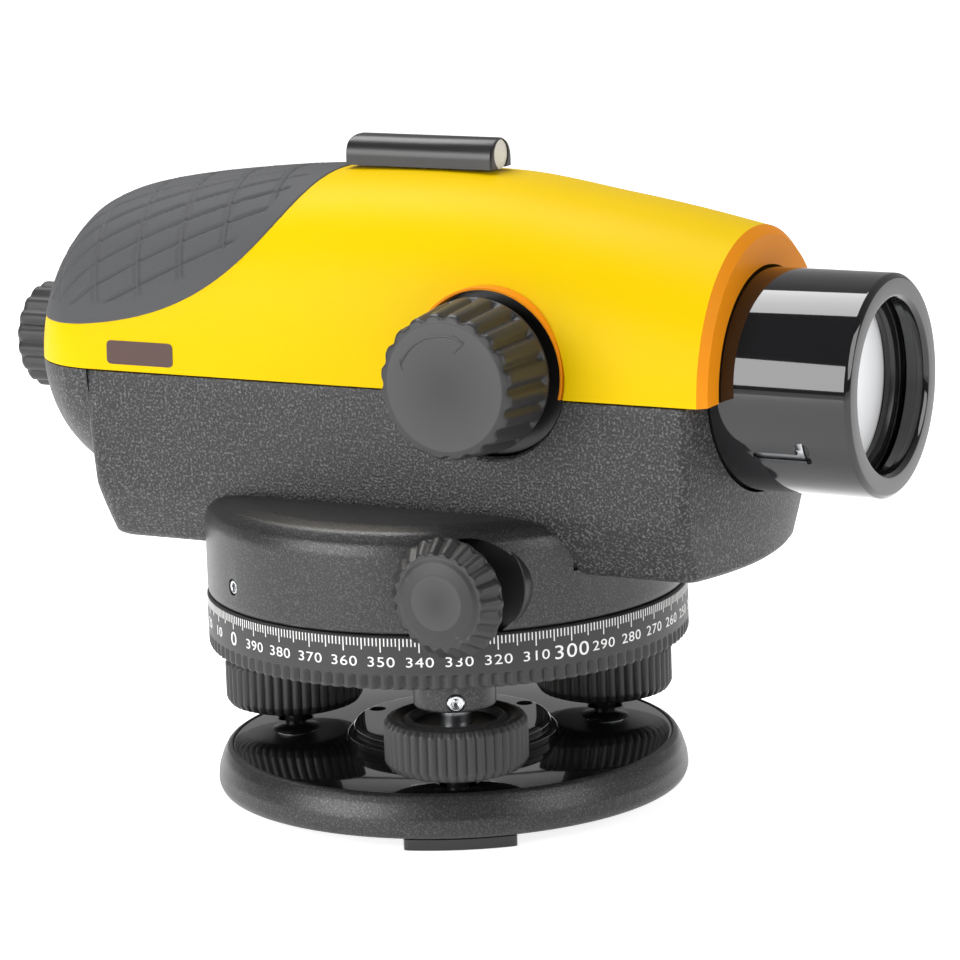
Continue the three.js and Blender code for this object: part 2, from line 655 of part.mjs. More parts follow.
function addEyepiece() {
  piece("reticle_holder", tube(10.5, 7.1, -69.3, -65, "x", 24).translate([0, 0, SIGHT_Z]), "brass");
  piece("reticle", opticCylinder(6.9, -68, -66.4), "glass");
  piece("eyepiece_tube", eyepieceTube(), "alloy");
  piece("eyepiece_cell", eyepieceCell(), "brass");
  piece("eye_lens", lens(6.5, -91.6, -89.4, 0.6, 0.9), "glass");
  piece("diopter_knob", eyepieceKnob(), "knob");
}

// ---- round bubble and its mirror, on the far side ----
const VIAL = { x: -2, y: 39.8, z: TURRET_Z[1] + GAP };
const MIRROR = { x: 11, z: 77.2, y: [33.2, 46.4] };

const vialHolder = () =>
  turned([[0, 0], [7.8, 0], [7.8, 5.4], [6.4, 5.9], [6.4, 1.3], [0, 1.3]], "z", 20);
const vialGlass = () =>
  turned([[0, 1.5], [6.1, 1.5], [6.1, 5.6], [4.5, 6.3], [0, 6.6]], "z", 20);

function mirrorBracket() {
  const { x, y, z } = MIRROR;
  const post = block([x - 1.5, x + 1.5], [y[0], y[1]], [VIAL.z, z - 2.4]);
  const lug = block([x - 1.5, x + 1.5], [y[0], 38.1], [z - 3, z]);
  const knuckle = rod(1.9, y[0], 38.1, "y", 12).translate([x, 0, z]);
  return join(post, lug, knuckle);
}

function mirrorFlap() {
  const { x, y, z } = MIRROR;
  const knuckle = rod(1.9, 38.4, y[1], "y", 12);
  const plate = block([-20, -2.5], [y[0], y[1]], [-0.9, 0.9]);
  const tab = block([-3, 0], [38.4, y[1]], [-0.9, 0.9]);
  return join(knuckle, plate, tab).rotate([0, 45, 0]).translate([x, 0, z]);
}

function addVial() {
  piece("vial_holder", vialHolder(), "knob", [VIAL.x, VIAL.y, VIAL.z]);
  piece("vial", vialGlass(), "glass", [VIAL.x, VIAL.y, VIAL.z]);
  piece("mirror_bracket", mirrorBracket(), "knob");
  piece("mirror", mirrorFlap(), "knob");
}

addBase();
addFeet();
addHead();
addDrive();
addBody();
addTelescope();
addFocusing();
addCompensator();
addEyepiece();
addVial();

export default level;
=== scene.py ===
import json
import math

import bmesh
import bpy
from mathutils import Matrix, Vector


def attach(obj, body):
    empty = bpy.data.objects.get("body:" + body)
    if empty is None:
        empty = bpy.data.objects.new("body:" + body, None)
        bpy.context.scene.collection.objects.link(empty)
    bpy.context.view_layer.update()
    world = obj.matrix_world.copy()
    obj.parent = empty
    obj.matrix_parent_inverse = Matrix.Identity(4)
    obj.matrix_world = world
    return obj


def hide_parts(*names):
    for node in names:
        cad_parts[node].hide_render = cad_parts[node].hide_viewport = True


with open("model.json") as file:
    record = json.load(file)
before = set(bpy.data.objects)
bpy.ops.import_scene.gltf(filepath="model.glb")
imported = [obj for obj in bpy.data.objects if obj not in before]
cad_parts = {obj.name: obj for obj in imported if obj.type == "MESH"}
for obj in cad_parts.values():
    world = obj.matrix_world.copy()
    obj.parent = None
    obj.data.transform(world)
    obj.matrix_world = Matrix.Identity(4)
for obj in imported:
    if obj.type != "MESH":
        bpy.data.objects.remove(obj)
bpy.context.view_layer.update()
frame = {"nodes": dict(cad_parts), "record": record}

# An automatic level. Helpers work in millimetres, in the frame's axes: +X is the way the telescope
# looks, -Y is the focusing knob's side, +Z is up, and the origin is under the middle of the base.
# Heights are counted from a level GROUND above the origin; fit() lifts each finished piece by that much.
MM = 0.001
GROUND = 3.7

# ---- sizes shared with the frame, mm ----
SIGHT_Z = 93.2
SPLIT_Z = 92.0
BODY_HALF = 31.0
TAIL_X, REAR_X, NOSE_X = -73.8, -93.2, 78.3
CASTING_Z, CHAMFER_Z, CHAMFER_HALF = 53.6, 66.5, 25.0
BASE_R, BASE_TOP, RIM_BOTTOM, FLOOR_TOP = 52.1, 8.6, -1.4, 2.4
PLATE_R, PLATE_BOTTOM, PLATE_TOP = 48.6, 7.2, 8.4
COLLAR_R, COLLAR_TOP, COLLAR_SCREW_RADIUS = 23.3, 12.3, 19.0
BALL_Z, BALL_R = 4.6, 3.45
FEET = {"a": -60, "b": 180, "c": 60}
FOOT_RADIUS = 40.4
KNOB_R, KNOB_BOTTOM, KNOB_TOP = 15.4, 11.7, 23.7
COLUMN_R, COLUMN_Z, CLAMP_SCREW_Z = 8.8, 26.0, 28.2
CIRCLE_R, CIRCLE_BOTTOM, CIRCLE_TOP = 52.9, 32.05, 43.7
TURRET_R, TURRET_BOTTOM, TURRET_TOP = 52.7, 43.9, 66.5
INDEX_ANGLE, INDEX_Z = -122, 49.4
WORM_X, WORM_Z = 28.0, 53.0
FOCUS_X, FOCUS_Z, FOCUS_R, FOCUS_RECESS = 27.9, 97.0, 16.5, 18.0
HOOD_R, HOOD_REAR, HOOD_FRONT = 23.5, 67.0, 107.0
EYE_KNOB_R = 12.0
TAIL_HOLE = (12.9, -120, -84)  # radius, rear and front of the eyepiece opening
NOSE_HOLE = (24.0, 60, 90)  # the same for the objective opening
RECESS_CUT = (-26.8, 0.7)  # the y that the focus recess reaches, and its flare
SIGHT_DISC_Z = 138.4
AXES = {"z": lambda r, h, a: (r * math.cos(a), r * math.sin(a), h),
        "x": lambda r, h, a: (h, r * math.cos(a), r * math.sin(a)),
        "y": lambda r, h, a: (r * math.sin(a), h, r * math.cos(a))}


# ---- meshes ----
def make(name, points, faces, sharp=32):
    mesh = bpy.data.meshes.new(name)
    mesh.from_pydata([tuple(c * MM for c in p) for p in points], [], faces)
    mesh.validate()
    mesh.polygons.foreach_set("use_smooth", [True] * len(mesh.polygons))
    mesh.set_sharp_from_angle(angle=math.radians(sharp))
    obj = bpy.data.objects.new(name, mesh)
    bpy.context.scene.collection.objects.link(obj)
    return obj


def skin(name, rings, around=True, lengthwise=False, caps=True, sharp=32):
    """A mesh over rings of points. around closes each ring, lengthwise joins the last to the first."""
    count = len(rings[0])
    points = [p for ring in rings for p in ring]
    faces = []
    for i in range(len(rings) if lengthwise else len(rings) - 1):
        for j in range(count if around else count - 1):
            a, b = i * count + j, i * count + (j + 1) % count
            c, d = ((i + 1) % len(rings)) * count + (j + 1) % count, ((i + 1) % len(rings)) * count + j
            faces.append((a, b, c, d))
    if caps and around and not lengthwise:
        faces.append(tuple(range(count))[::-1])
        faces.append(tuple((len(rings) - 1) * count + j for j in range(count)))
    obj = make(name, points, faces, sharp)
    outward(obj, sharp)
    return obj


def outward(obj, sharp):
    """Joins doubled points, turns every face outwards and shades it smooth up to the sharp angle."""
    work = bmesh.new()
    work.from_mesh(obj.data)
    bmesh.ops.remove_doubles(work, verts=work.verts, dist=1e-7)
    bmesh.ops.recalc_face_normals(work, faces=work.faces)
    work.to_mesh(obj.data)
    work.free()
    obj.data.polygons.foreach_set("use_smooth", [True] * len(obj.data.polygons))
    obj.data.set_sharp_from_angle(angle=math.radians(sharp))


def rounded(points, radius, closed=False, steps=4):
    """The same outline with each corner turned into a short curve."""
    out = []
    count = len(points)
    for i, p in enumerate(points):
        if not closed and i in (0, count - 1):
            out.append(tuple(p))
            continue
        here, before, after = Vector(p), Vector(points[i - 1]), Vector(points[(i + 1) % count])
        room = min(radius, 0.45 * (before - here).length, 0.45 * (after - here).length)
        start = here + (before - here).normalized() * room
        end = here + (after - here).normalized() * room
        for k in range(steps + 1):
            t = k / steps
            out.append(tuple(start * (1 - t) ** 2 + here * 2 * t * (1 - t) + end * t * t))
    return out


def lathe(name, profile, axis="z", place=(0, 0, 0), segments=128, bevel=0.4, grip=None, closed=False,
          sharp=32):
    """A profile of (radius, height) turned about an axis. grip(angle, radius, height) gives the radius."""
    outline = rounded(profile, bevel, closed) if bevel else profile
    rings = []
    for r, h in outline:
        ring = []
        for j in range(segments):
            angle = 2 * math.pi * j / segments
            radius = max(grip(angle, r, h), 0.001) if grip and r > 0.01 else max(r, 0.001)
            x, y, z = AXES[axis](radius, h, angle)
            ring.append((x + place[0], y + place[1], z + place[2]))
        rings.append(ring)
    return skin(name, rings, lengthwise=closed, caps=not closed, sharp=sharp)


def carve(obj, *cutters, sharp=32):
    for cutter in cutters:
        modifier = obj.modifiers.new("cut", "BOOLEAN")
        modifier.operation, modifier.solver, modifier.object = "DIFFERENCE", "EXACT", cutter
    graph = bpy.context.evaluated_depsgraph_get()
    mesh = bpy.data.meshes.new_from_object(obj.evaluated_get(graph))
    obj.modifiers.clear()
    obj.data = mesh
    mesh.polygons.foreach_set("use_smooth", [True] * len(mesh.polygons))
    mesh.set_sharp_from_angle(angle=math.radians(sharp))
    for cutter in cutters:
        bpy.data.objects.remove(cutter)
    return obj


def polar(angle, radius, z=0.0):
    return (radius * math.cos(math.radians(angle)), radius * math.sin(math.radians(angle)), z)


def facing(place, angle):
    """The transform that turns +X to an angle about Z and moves it to a place in mm."""
    return Matrix.Translation(Vector(place) * MM) @ Matrix.Rotation(math.radians(angle), 4, "Z")


def fit(obj, body, slot, material, *nodes):
    """Lifts a finished piece by GROUND and gives it its material, body and the nodes it replaces; slot is
    not used.
    """
    obj.data.transform(Matrix.Translation((0, 0, GROUND * MM)))
    obj.data.materials.clear()
    obj.data.materials.append(material)
    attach(obj, body)
    if nodes:
        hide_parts(*nodes)
    return obj


# ---- materials ----
def coat(name, colour, roughness, metallic=0.0, vary=0.12, spots=900.0, bump=0.1, bump_depth=0.0001,
         clear=0.0, sheen_spots=None, wear=0.0, shine=0.5):
    """Paint or plastic: uneven colour and gloss, a fine grain, and optional bright flakes in it."""
    material = bpy.data.materials.new(name)
    material.use_nodes = True
    nodes, links = material.node_tree.nodes, material.node_tree.links
    shader = nodes["Principled BSDF"]
    shader.inputs["Metallic"].default_value = metallic
    shader.inputs["Specular IOR Level"].default_value = shine
    shader.inputs["Coat Weight"].default_value = clear
    shader.inputs["Coat Roughness"].default_value = 0.04
    where = nodes.new("ShaderNodeTexCoord")
    broad = nodes.new("ShaderNodeTexNoise")
    broad.inputs["Scale"].default_value = 45.0
    broad.inputs["Detail"].default_value = 6.0
    links.new(where.outputs["Object"], broad.inputs["Vector"])
    tint = nodes.new("ShaderNodeMix")
    tint.data_type = "RGBA"
    tint.inputs["A"].default_value = (*[c * (1 - vary) for c in colour], 1)
    tint.inputs["B"].default_value = (*[min(c * (1 + vary), 1) for c in colour], 1)
    links.new(broad.outputs["Fac"], tint.inputs["Factor"])
    result = tint.outputs["Result"]
    grain = nodes.new("ShaderNodeTexNoise")
    grain.inputs["Scale"].default_value = spots
    grain.inputs["Detail"].default_value = 3.0
    links.new(where.outputs["Object"], grain.inputs["Vector"])
    if sheen_spots:
        flakes = nodes.new("ShaderNodeValToRGB")
        flakes.color_ramp.elements[0].position = sheen_spots[0]
        flakes.color_ramp.elements[1].position = sheen_spots[1]
        links.new(grain.outputs["Fac"], flakes.inputs["Fac"])
        spark = nodes.new("ShaderNodeMix")
        spark.data_type = "RGBA"
        spark.inputs["B"].default_value = (*sheen_spots[2], 1)
        links.new(flakes.outputs["Color"], spark.inputs["Factor"])
        links.new(result, spark.inputs["A"])
        result = spark.outputs["Result"]
    if wear:
        edge = nodes.new("ShaderNodeNewGeometry")
        band = nodes.new("ShaderNodeMapRange")
        band.inputs["From Min"].default_value = 0.52
        band.inputs["From Max"].default_value = 0.62
        links.new(edge.outputs["Pointiness"], band.inputs["Value"])
        rub = nodes.new("ShaderNodeMath")
        rub.operation = "MULTIPLY"
        rub.inputs[1].default_value = wear
        links.new(band.outputs["Result"], rub.inputs[0])
        worn = nodes.new("ShaderNodeMix")
        worn.data_type = "RGBA"
        worn.inputs["B"].default_value = (*[min(c * 2.2 + 0.08, 1) for c in colour], 1)
        links.new(rub.outputs["Value"], worn.inputs["Factor"])
        links.new(result, worn.inputs["A"])
        result = worn.outputs["Result"]
    links.new(result, shader.inputs["Base Color"])
    gloss = nodes.new("ShaderNodeMapRange")
    gloss.inputs["To Min"].default_value = roughness * 0.85
    gloss.inputs["To Max"].default_value = min(roughness * 1.15, 1)
    links.new(broad.outputs["Fac"], gloss.inputs["Value"])
    links.new(gloss.outputs["Result"], shader.inputs["Roughness"])
    relief = nodes.new("ShaderNodeBump")
    relief.inputs["Strength"].default_value = bump
    relief.inputs["Distance"].default_value = bump_depth
    links.new(grain.outputs["Fac"], relief.inputs["Height"])
    links.new(relief.outputs["Normal"], shader.inputs["Normal"])
    return material


def glass(name, colour, roughness=0.03, through=0.0, glow=0.0):
    """Glass. glow is a light of its own: a painted reflection of a bright room in a lens coating."""
    material = coat(name, colour, roughness, vary=0.03, spots=300, bump=0.02, clear=1.0)
    shader = material.node_tree.nodes["Principled BSDF"]
    shader.inputs["Transmission Weight"].default_value = through
    shader.inputs["Emission Color"].default_value = (1, 1, 1, 1)
    shader.inputs["Emission Strength"].default_value = glow
    return material


YELLOW = coat("yellow_paint", (0.75, 0.50, 0.0002), 0.42, vary=0.02, spots=1500, bump=0.05, shine=0.06)
# A darker, orange copy of the yellow paint for faces turned away from the light: painted shade.
YELLOW_PAINTED_SHADE = coat("yellow_painted_shade", (0.82, 0.27, 0.006), 0.5, vary=0.05, spots=1500, bump=0.05,
                    shine=0.15)
SPECKLE = coat("speckled_casting", (0.012, 0.012, 0.013), 0.46, 0.15, 0.2, 1900, 0.7, 0.0003,
               sheen_spots=(0.5, 0.74, (0.15, 0.15, 0.155)), wear=0.12)
CHARCOAL = coat("charcoal_casting", (0.036, 0.036, 0.037), 0.36, 0.5, 0.12, 2600, 0.3, 0.0002,
                sheen_spots=(0.5, 0.85, (0.13, 0.13, 0.135)), wear=0.35)
GLOSS = coat("black_gloss", (0.009, 0.009, 0.01), 0.05, 0.0, 0.2, 400, 0.01, clear=0.45, shine=0.4)
SATIN = coat("satin_black", (0.02, 0.02, 0.021), 0.3, 0.2, 0.15, 1800, 0.1, wear=0.2)
RUBBER = coat("grip_rubber", (0.062, 0.063, 0.067), 0.7, 0.0, 0.14, 2200, 0.3, 0.0002)
KNOB = coat("knob_plastic", (0.023, 0.023, 0.024), 0.46, 0.1, 0.1, 2400, 0.2, wear=0.25)
CIRCLE = coat("circle_plastic", (0.03, 0.03, 0.031), 0.45, 0.15, 0.1, 2000, 0.15, wear=0.2)
INK = coat("white_ink", (0.83, 0.83, 0.82), 0.5, vary=0.05, bump=0.05)
DARK_INK = coat("dark_ink", (0.055, 0.018, 0.012), 0.45, vary=0.1, bump=0.05)
STEEL = coat("steel", (0.62, 0.63, 0.65), 0.24, 1.0, 0.08, 1800, 0.08)
BRASS = coat("brass", (0.72, 0.54, 0.26), 0.3, 1.0, 0.1, 1500, 0.08)
ALLOY = coat("alloy", (0.5, 0.51, 0.53), 0.4, 1.0, 0.08, 1500, 0.08)
# The lens's pale colour and its glow are a painted reflection of the bright room in the coating, not the
# glass's own colour.
LENS_PAINTED_REFLECTION = glass("lens_painted_reflection", (0.72, 0.73, 0.75), 0.12, glow=0.36)
CLEAR = glass("clear_glass", (0.85, 0.92, 0.90), through=0.9)
SILVER = coat("silvered", (0.88, 0.89, 0.9), 0.03, 1.0, 0.02, 600, 0.01)
LIQUID = glass("vial_liquid", (0.55, 0.75, 0.25), through=0.6)
PLATE_WHITE = coat("sight_white", (0.72, 0.73, 0.73), 0.35, vary=0.06, bump=0.08)


# ---- the body's outer form ----
CROWN = [(-93.2, 13.6), (-91.6, 18), (-88.3, 24), (-84.2, 29.2), (-78.4, 33.9), (-68.1, 37.5),
         (-46, 40.8), (-21, 42.7), (18, 42.6), (44, 39.1), (60, 36.6), (78.3, 33.1)]
FLANK = [(-93.2, 13.6), (-91.6, 17.2), (-88.3, 22.3), (-84.2, 26.3), (-78.4, 29.6), (-71, 31), (78.3, 31)]
SQUARENESS = [(-93.2, 2), (-74, 2.3), (-20, 2.5), (18, 2.5), (78.3, 2)]


def along(points, x):
    """A smooth line through (x, value) points, read at one x."""
    last = len(points) - 1
    if x <= points[0][0]:
        return points[0][1]
    if x >= points[last][0]:
        return points[last][1]
    i = next(k for k in range(last) if points[k + 1][0] > x)

    def slope(k):
        before, after = points[max(k - 1, 0)], points[min(k + 1, last)]
        return (after[1] - before[1]) / (after[0] - before[0])

    (x0, v0), (x1, v1) = points[i], points[i + 1]
    span, t = x1 - x0, (x - x0) / (x1 - x0)
    left = v0 * (1 + 2 * t) * (1 - t) ** 2 + span * slope(i) * t * (1 - t) ** 2
    return left + v1 * t * t * (3 - 2 * t) + span * slope(i + 1) * t * t * (t - 1)


def arch_point(x, angle, inset=0.0):
    power = 2 / along(SQUARENESS, x)
    c, s = math.cos(angle), max(math.sin(angle), 0.0)
    half, high = along(FLANK, x) - inset, along(CROWN, x) - inset
    return (x, math.copysign(half * abs(c) ** power, c), SPLIT_Z + high * s ** power)


def ease(rear, front, count):
    """Places from rear to front, closer together at the rear."""
    return [rear + (front - rear) * (1 - math.cos(i / count * math.pi / 2)) for i in range(count + 1)]


def grip_edge(x):
    """Height of the moulded grip's edge at x, and the edge's slope there."""
    if x <= -84:
        return 101.3, 0.0
    p = [(-18, 140), (-30, 112), (-50, 101.5), (-84, 101.3)]
    low, high = 0.0, 1.0
    for _ in range(40):
        t = (low + high) / 2
        w = ((1 - t) ** 3, 3 * t * (1 - t) ** 2, 3 * t * t * (1 - t), t ** 3)
        if sum(k * q[0] for k, q in zip(w, p)) > x:
            low = t
        else:
            high = t
    d = (3 * (1 - t) ** 2, 6 * t * (1 - t), 3 * t * t)
    run = sum(k * (p[i + 1][0] - p[i][0]) for i, k in enumerate(d))
    rise = sum(k * (p[i + 1][1] - p[i][1]) for i, k in enumerate(d))
    return sum(k * q[1] for k, q in zip(w, p)), rise / run


def cover_inset(x, z):
    """How far the cover lies below the body's outer form, under the grip."""
    edge, slope = grip_edge(x) if x < -17 else (999, 0)
    depth = (z - edge) / math.sqrt(1 + slope * slope) - 1.2
    return 1.9 * min(max(depth / 0.8, 0), 1)


def cover_solid(name, rear, front, inset, count, arch, recessed):
    rings = []
    for x in ease(rear, front, count):
        lip = 1.6 * (1 - math.sqrt(max(1 - max((x - front + 1.6) / 1.6, 0) ** 2, 0))) if recessed else 0
        ring = []
        for j in range(arch + 1):
            angle = math.pi * j / arch
            p = arch_point(x, angle, inset + lip)
            if recessed:
                p = arch_point(x, angle, inset + lip + cover_inset(x, p[2]))
            ring.append(p)
        base = SPLIT_Z + 0.15 if recessed else SPLIT_Z - 3
        raised = [(px, py, max(pz, base + 0.01)) for px, py, pz in ring[1:-1]]
        ring = [(x, ring[0][1], base)] + raised + [(x, ring[-1][1], base)]
        rings.append(ring)
    return skin(name, rings)


def barrel_cutter(radius, rear, front):
    profile = [(0, rear), (radius, rear), (radius, front), (0, front)]
    return lathe("cutter", profile, "x", (0, 0, SIGHT_Z), 96, bevel=0)


def knob_cutter(radius, depth_y, flare):
    surface = -BODY_HALF
    wide = radius + flare
    profile = [(0, -45), (wide, -45), (wide, surface - 0.02), (radius + 0.3 * flare, surface + 0.6 * flare),
               (radius, surface + 1.6 * flare), (radius, depth_y), (0, depth_y)]
    return lathe("cutter", profile, "y", (FOCUS_X, 0, FOCUS_Z), 96, bevel=0)


def top_cover():
    cover = cover_solid("cover_shell", REAR_X, NOSE_X, 0, 150, 120, True)
    hollow = cover_solid("cutter", -89, NOSE_X - 3.2, 4.2, 40, 40, False)
    carve(cover, hollow, barrel_cutter(*NOSE_HOLE), barrel_cutter(*TAIL_HOLE),
          knob_cutter(FOCUS_RECESS, *RECESS_CUT))
    fit(cover, "instrument", "yellow_paint", YELLOW, "top_cover")
    # The cover's front face takes this second material, the orange copy of the yellow: painted shade.
    cover.data.materials.append(YELLOW_PAINTED_SHADE)
    for face in cover.data.polygons:
        if face.center.x > (NOSE_X - 0.9) * MM:
            face.material_index = 1
    focus_axis = (FOCUS_X, 0, FOCUS_Z)
    # A thin sheet over the focus recess's wall carries the orange copy of the yellow: painted shade inside
    # the recess.
    wall = [(17.4, -30.9), (17.98, -31.0), (17.98, -27.3), (17.4, -27.3)]
    recess_shade_sheet = lathe("focus_recess_painted_shade", wall, "y", focus_axis, 96, 0.1, closed=True)
    below = skin("cutter",
                 [[(0, -50, z), (60, -50, z), (60, 0, z), (0, 0, z)] for z in (70, SPLIT_Z + 0.15)])
    fit(carve(recess_shade_sheet, below), "instrument", "yellow_paint", YELLOW_PAINTED_SHADE)
    disc = [(3.2, -27.4), (18.2, -27.4), (18.2, -25.6), (3.2, -25.6)]
    panel = lathe("focus_recess_floor", disc, "y", focus_axis, 96, closed=True)
    fit(panel, "instrument", "yellow_paint", SATIN)


def rubber_grip():
    rows, columns = 260, 230
    tip = -17.6
    while along(CROWN, tip) + SPLIT_Z <= grip_edge(tip)[0] + 0.02:
        tip -= 0.05

    def line(value, pitch, half_width):
        off_line = abs((value / pitch + 0.5) % 1 - 0.5) * pitch
        return max(1 - off_line / half_width, 0)

    outer, inner = [], []
    for i in range(rows + 1):
        s = i / rows
        x = REAR_X + 0.05 + (tip - REAR_X) * (0.55 * s + 0.45 * math.sin(s * math.pi / 2)) * 0.9995
        edge, slope = grip_edge(x)
        ratio = min((edge - SPLIT_Z) / along(CROWN, x), 1)
        start = math.asin(ratio ** (along(SQUARENESS, x) / 2))
        row_out, row_in = [], []
        previous, across = None, 0.0
        sweep = []
        for j in range(columns + 1):
            u = 2 * j / columns - 1
            side = math.copysign(1 - (1 - abs(u)) ** 1.4, u)
            angle = math.pi / 2 - side * (math.pi / 2 - start)
            p = arch_point(x, angle)
            if previous:
                across += math.dist(p, previous)
            previous = p
            sweep.append((angle, p, across))
        for angle, p, v in sweep:
            v -= across / 2
            inside = max(p[2] - edge, 0) / math.sqrt(1 + slope * slope)
            rim = min(inside / 0.5, 1)
            proud = -0.5 + 0.75 * math.sqrt(max(1 - (1 - rim) ** 2, 0))
            field = min(max((inside - 4.2) / 0.8, 0), 1)
            down = abs(v)
            across_body, rising = x - 0.2 * down, down + 0.36 * x
            groove = max(0.42 * line(across_body, 11.0, 1.5), 0.6 * line(rising, 5.6, 0.85))
            proud += field * (0.5 * line(across_body, 11.0, 0.5) - groove)
            row_out.append(arch_point(x, angle, -proud))
            row_in.append(arch_point(x, angle, 1.4))
        outer.append(row_out)
        inner.append(row_in)
    count = columns + 1
    points = [p for row in outer for p in row] + [p for row in inner for p in row]
    faces = []
    shift = len(outer) * count
    for i in range(rows):
        for j in range(columns):
            a, b, c, d = i * count + j, i * count + j + 1, (i + 1) * count + j + 1, (i + 1) * count + j
            faces += [(a, b, c, d), (a + shift, d + shift, c + shift, b + shift)]
    border = [j for j in range(count)] + [i * count + columns for i in range(1, rows + 1)]
    border += [rows * count + j for j in range(columns - 1, -1, -1)]
    border += [i * count for i in range(rows - 1, 0, -1)]
    for a, b in zip(border, border[1:] + border[:1]):
        faces.append((b, a, a + shift, b + shift))
    grip = make("rubber_sleeve", points, faces, 50)
    outward(grip, 50)
    carve(grip, barrel_cutter(*TAIL_HOLE), sharp=50)
    fit(grip, "instrument", "grip_rubber", RUBBER, "rubber_grip")


def casting_ring(z, inset=0.0):
    down = max((SPLIT_Z - z) / (SPLIT_Z - CASTING_Z), 0)
    bow = [(NOSE_X - 4.4 * (k / 6) ** 2, k / 6 * BODY_HALF) for k in range(-6, 7)]
    outline = [(TAIL_X, BODY_HALF), (TAIL_X, -BODY_HALF)] + bow
    outline = rounded(outline, 5.0, True, 7)
    half = BODY_HALF
    if z < CHAMFER_Z:
        t = (CHAMFER_Z - z) / (CHAMFER_Z - CASTING_Z)
        half -= (BODY_HALF - CHAMFER_HALF) * t ** 1.15
    ring = []
    for x, y in outline:
        lean = -1.8 * down ** 2 - inset if x > 0 else 3.2 * down ** 1.6 + inset
        ring.append((x + lean, y / BODY_HALF * (half - inset), z))
    return ring


def lower_casting():
    top = SPLIT_Z - 0.15
    levels = [(CASTING_Z, 1.6), (CASTING_Z + 0.15, 0.9), (CASTING_Z + 0.6, 0.3), (CASTING_Z + 1.2, 0)]
    levels += [(CASTING_Z + 1.2 + (CHAMFER_Z - CASTING_Z - 1.2) * i / 10, 0) for i in range(1, 11)]
    levels += [(CHAMFER_Z + (top - 0.5 - CHAMFER_Z) * i / 14, 0) for i in range(1, 15)]
    levels += [(top - 0.15, 0.12), (top, 0.45)]
    casting = skin("casting_tub", [casting_ring(z, inset) for z, inset in levels], sharp=24)
    hollow = skin("cutter", [casting_ring(z, 2.8) for z in (62, 66.5, 75, 99)])
    carve(casting, hollow, barrel_cutter(*NOSE_HOLE), knob_cutter(FOCUS_RECESS + 0.4, *RECESS_CUT),
          barrel_cutter(28.4, -90, -60), sharp=24)
    fit(casting, "instrument", "speckled_casting", SPECKLE, "lower_casting")
    profile = [(along(FLANK, x), x) for x in ease(REAR_X, TAIL_X + 2, 40)]
    profile += [(28.0, TAIL_X + 2)]
    profile += [(along(FLANK, x) - 2.6, x) for x in reversed(ease(REAR_X + 0.6, TAIL_X + 1, 30))]
    dome = lathe("casting_dome", profile, "x", (0, 0, SIGHT_Z), 144, bevel=0, closed=True)
    above = skin("cutter",
                 [[(-120, -50, z), (-60, -50, z), (-60, 50, z), (-120, 50, z)] for z in (top, 140)])
    carve(dome, above, barrel_cutter(*TAIL_HOLE))
    fit(dome, "instrument", "speckled_casting", SPECKLE)


def turret():
    profile = [(40, TURRET_BOTTOM), (TURRET_R - 0.3, TURRET_BOTTOM), (TURRET_R, TURRET_BOTTOM + 1.2),
               (TURRET_R, 60.5), (TURRET_R - 0.7, 63), (TURRET_R - 2.6, 65.1), (TURRET_R - 6, 66.2),
               (TURRET_R - 12, TURRET_TOP), (8, TURRET_TOP), (8, 62), (48.5, 61),
               (48.5, TURRET_BOTTOM + 2), (40, TURRET_BOTTOM + 2)]
    drum = lathe("turret_drum", profile, "z", segments=192, bevel=0.8, closed=True)
    cutters = []
    for side in (-1, 1):
        well = [(0, side * 37), (11, side * 37), (11, side * 60), (0, side * 60)]
        cutters.append(lathe("cutter", well, "y", (WORM_X, 0, WORM_Z), 64, bevel=0))
    hole = lathe("cutter", [(0, 47), (1.85, 47), (1.85, 60), (0, 60)], "x", segments=32, bevel=0)
    hole.matrix_world = facing((0, 0, INDEX_Z), INDEX_ANGLE)
    under = skin("cutter", [[(p[0], p[1], z) for p in casting_ring(CHAMFER_Z, 4)] for z in (55, 70)])
    bpy.context.view_layer.update()
    carve(drum, *cutters, hole, under)
    fit(drum, "instrument", "base_casting", CHARCOAL, "turret")
    for name, side in (("near", -1), ("far", 1)):
        ring = [(2.8, side * 34), (11.6, side * 34), (11.6, side * 38), (2.8, side * 38)]
        boss = lathe(f"worm_bearing_{name}", ring, "y", (WORM_X, 0, WORM_Z), 64, closed=True)
        fit(boss, "instrument", "base_casting", SATIN)


def socket_screw(name, radius, length, place, angle, body, node):
    """A small socket set screw: a rim, a chamfer and a six-sided socket, pointing outwards."""
    def six(a, r, h):
        if r > 0.62 * radius or r < 0.05:
            return r
        return r * 0.93 / math.cos((a % (math.pi / 3)) - math.pi / 6)
    profile = [(0, 0), (radius, 0), (radius, length - 0.35), (radius * 0.82, length),
               (radius * 0.55, length - 0.12), (radius * 0.55, length - 1.3), (0, length - 1.7)]
    screw = lathe(name, profile, "x", segments=48, bevel=0.08, grip=six)
    screw.matrix_world = facing(place, angle)
    bpy.context.view_layer.update()
    screw.data.transform(screw.matrix_world)
    screw.matrix_world = Matrix.Identity(4)
    fit(screw, body, "steel", STEEL, node)


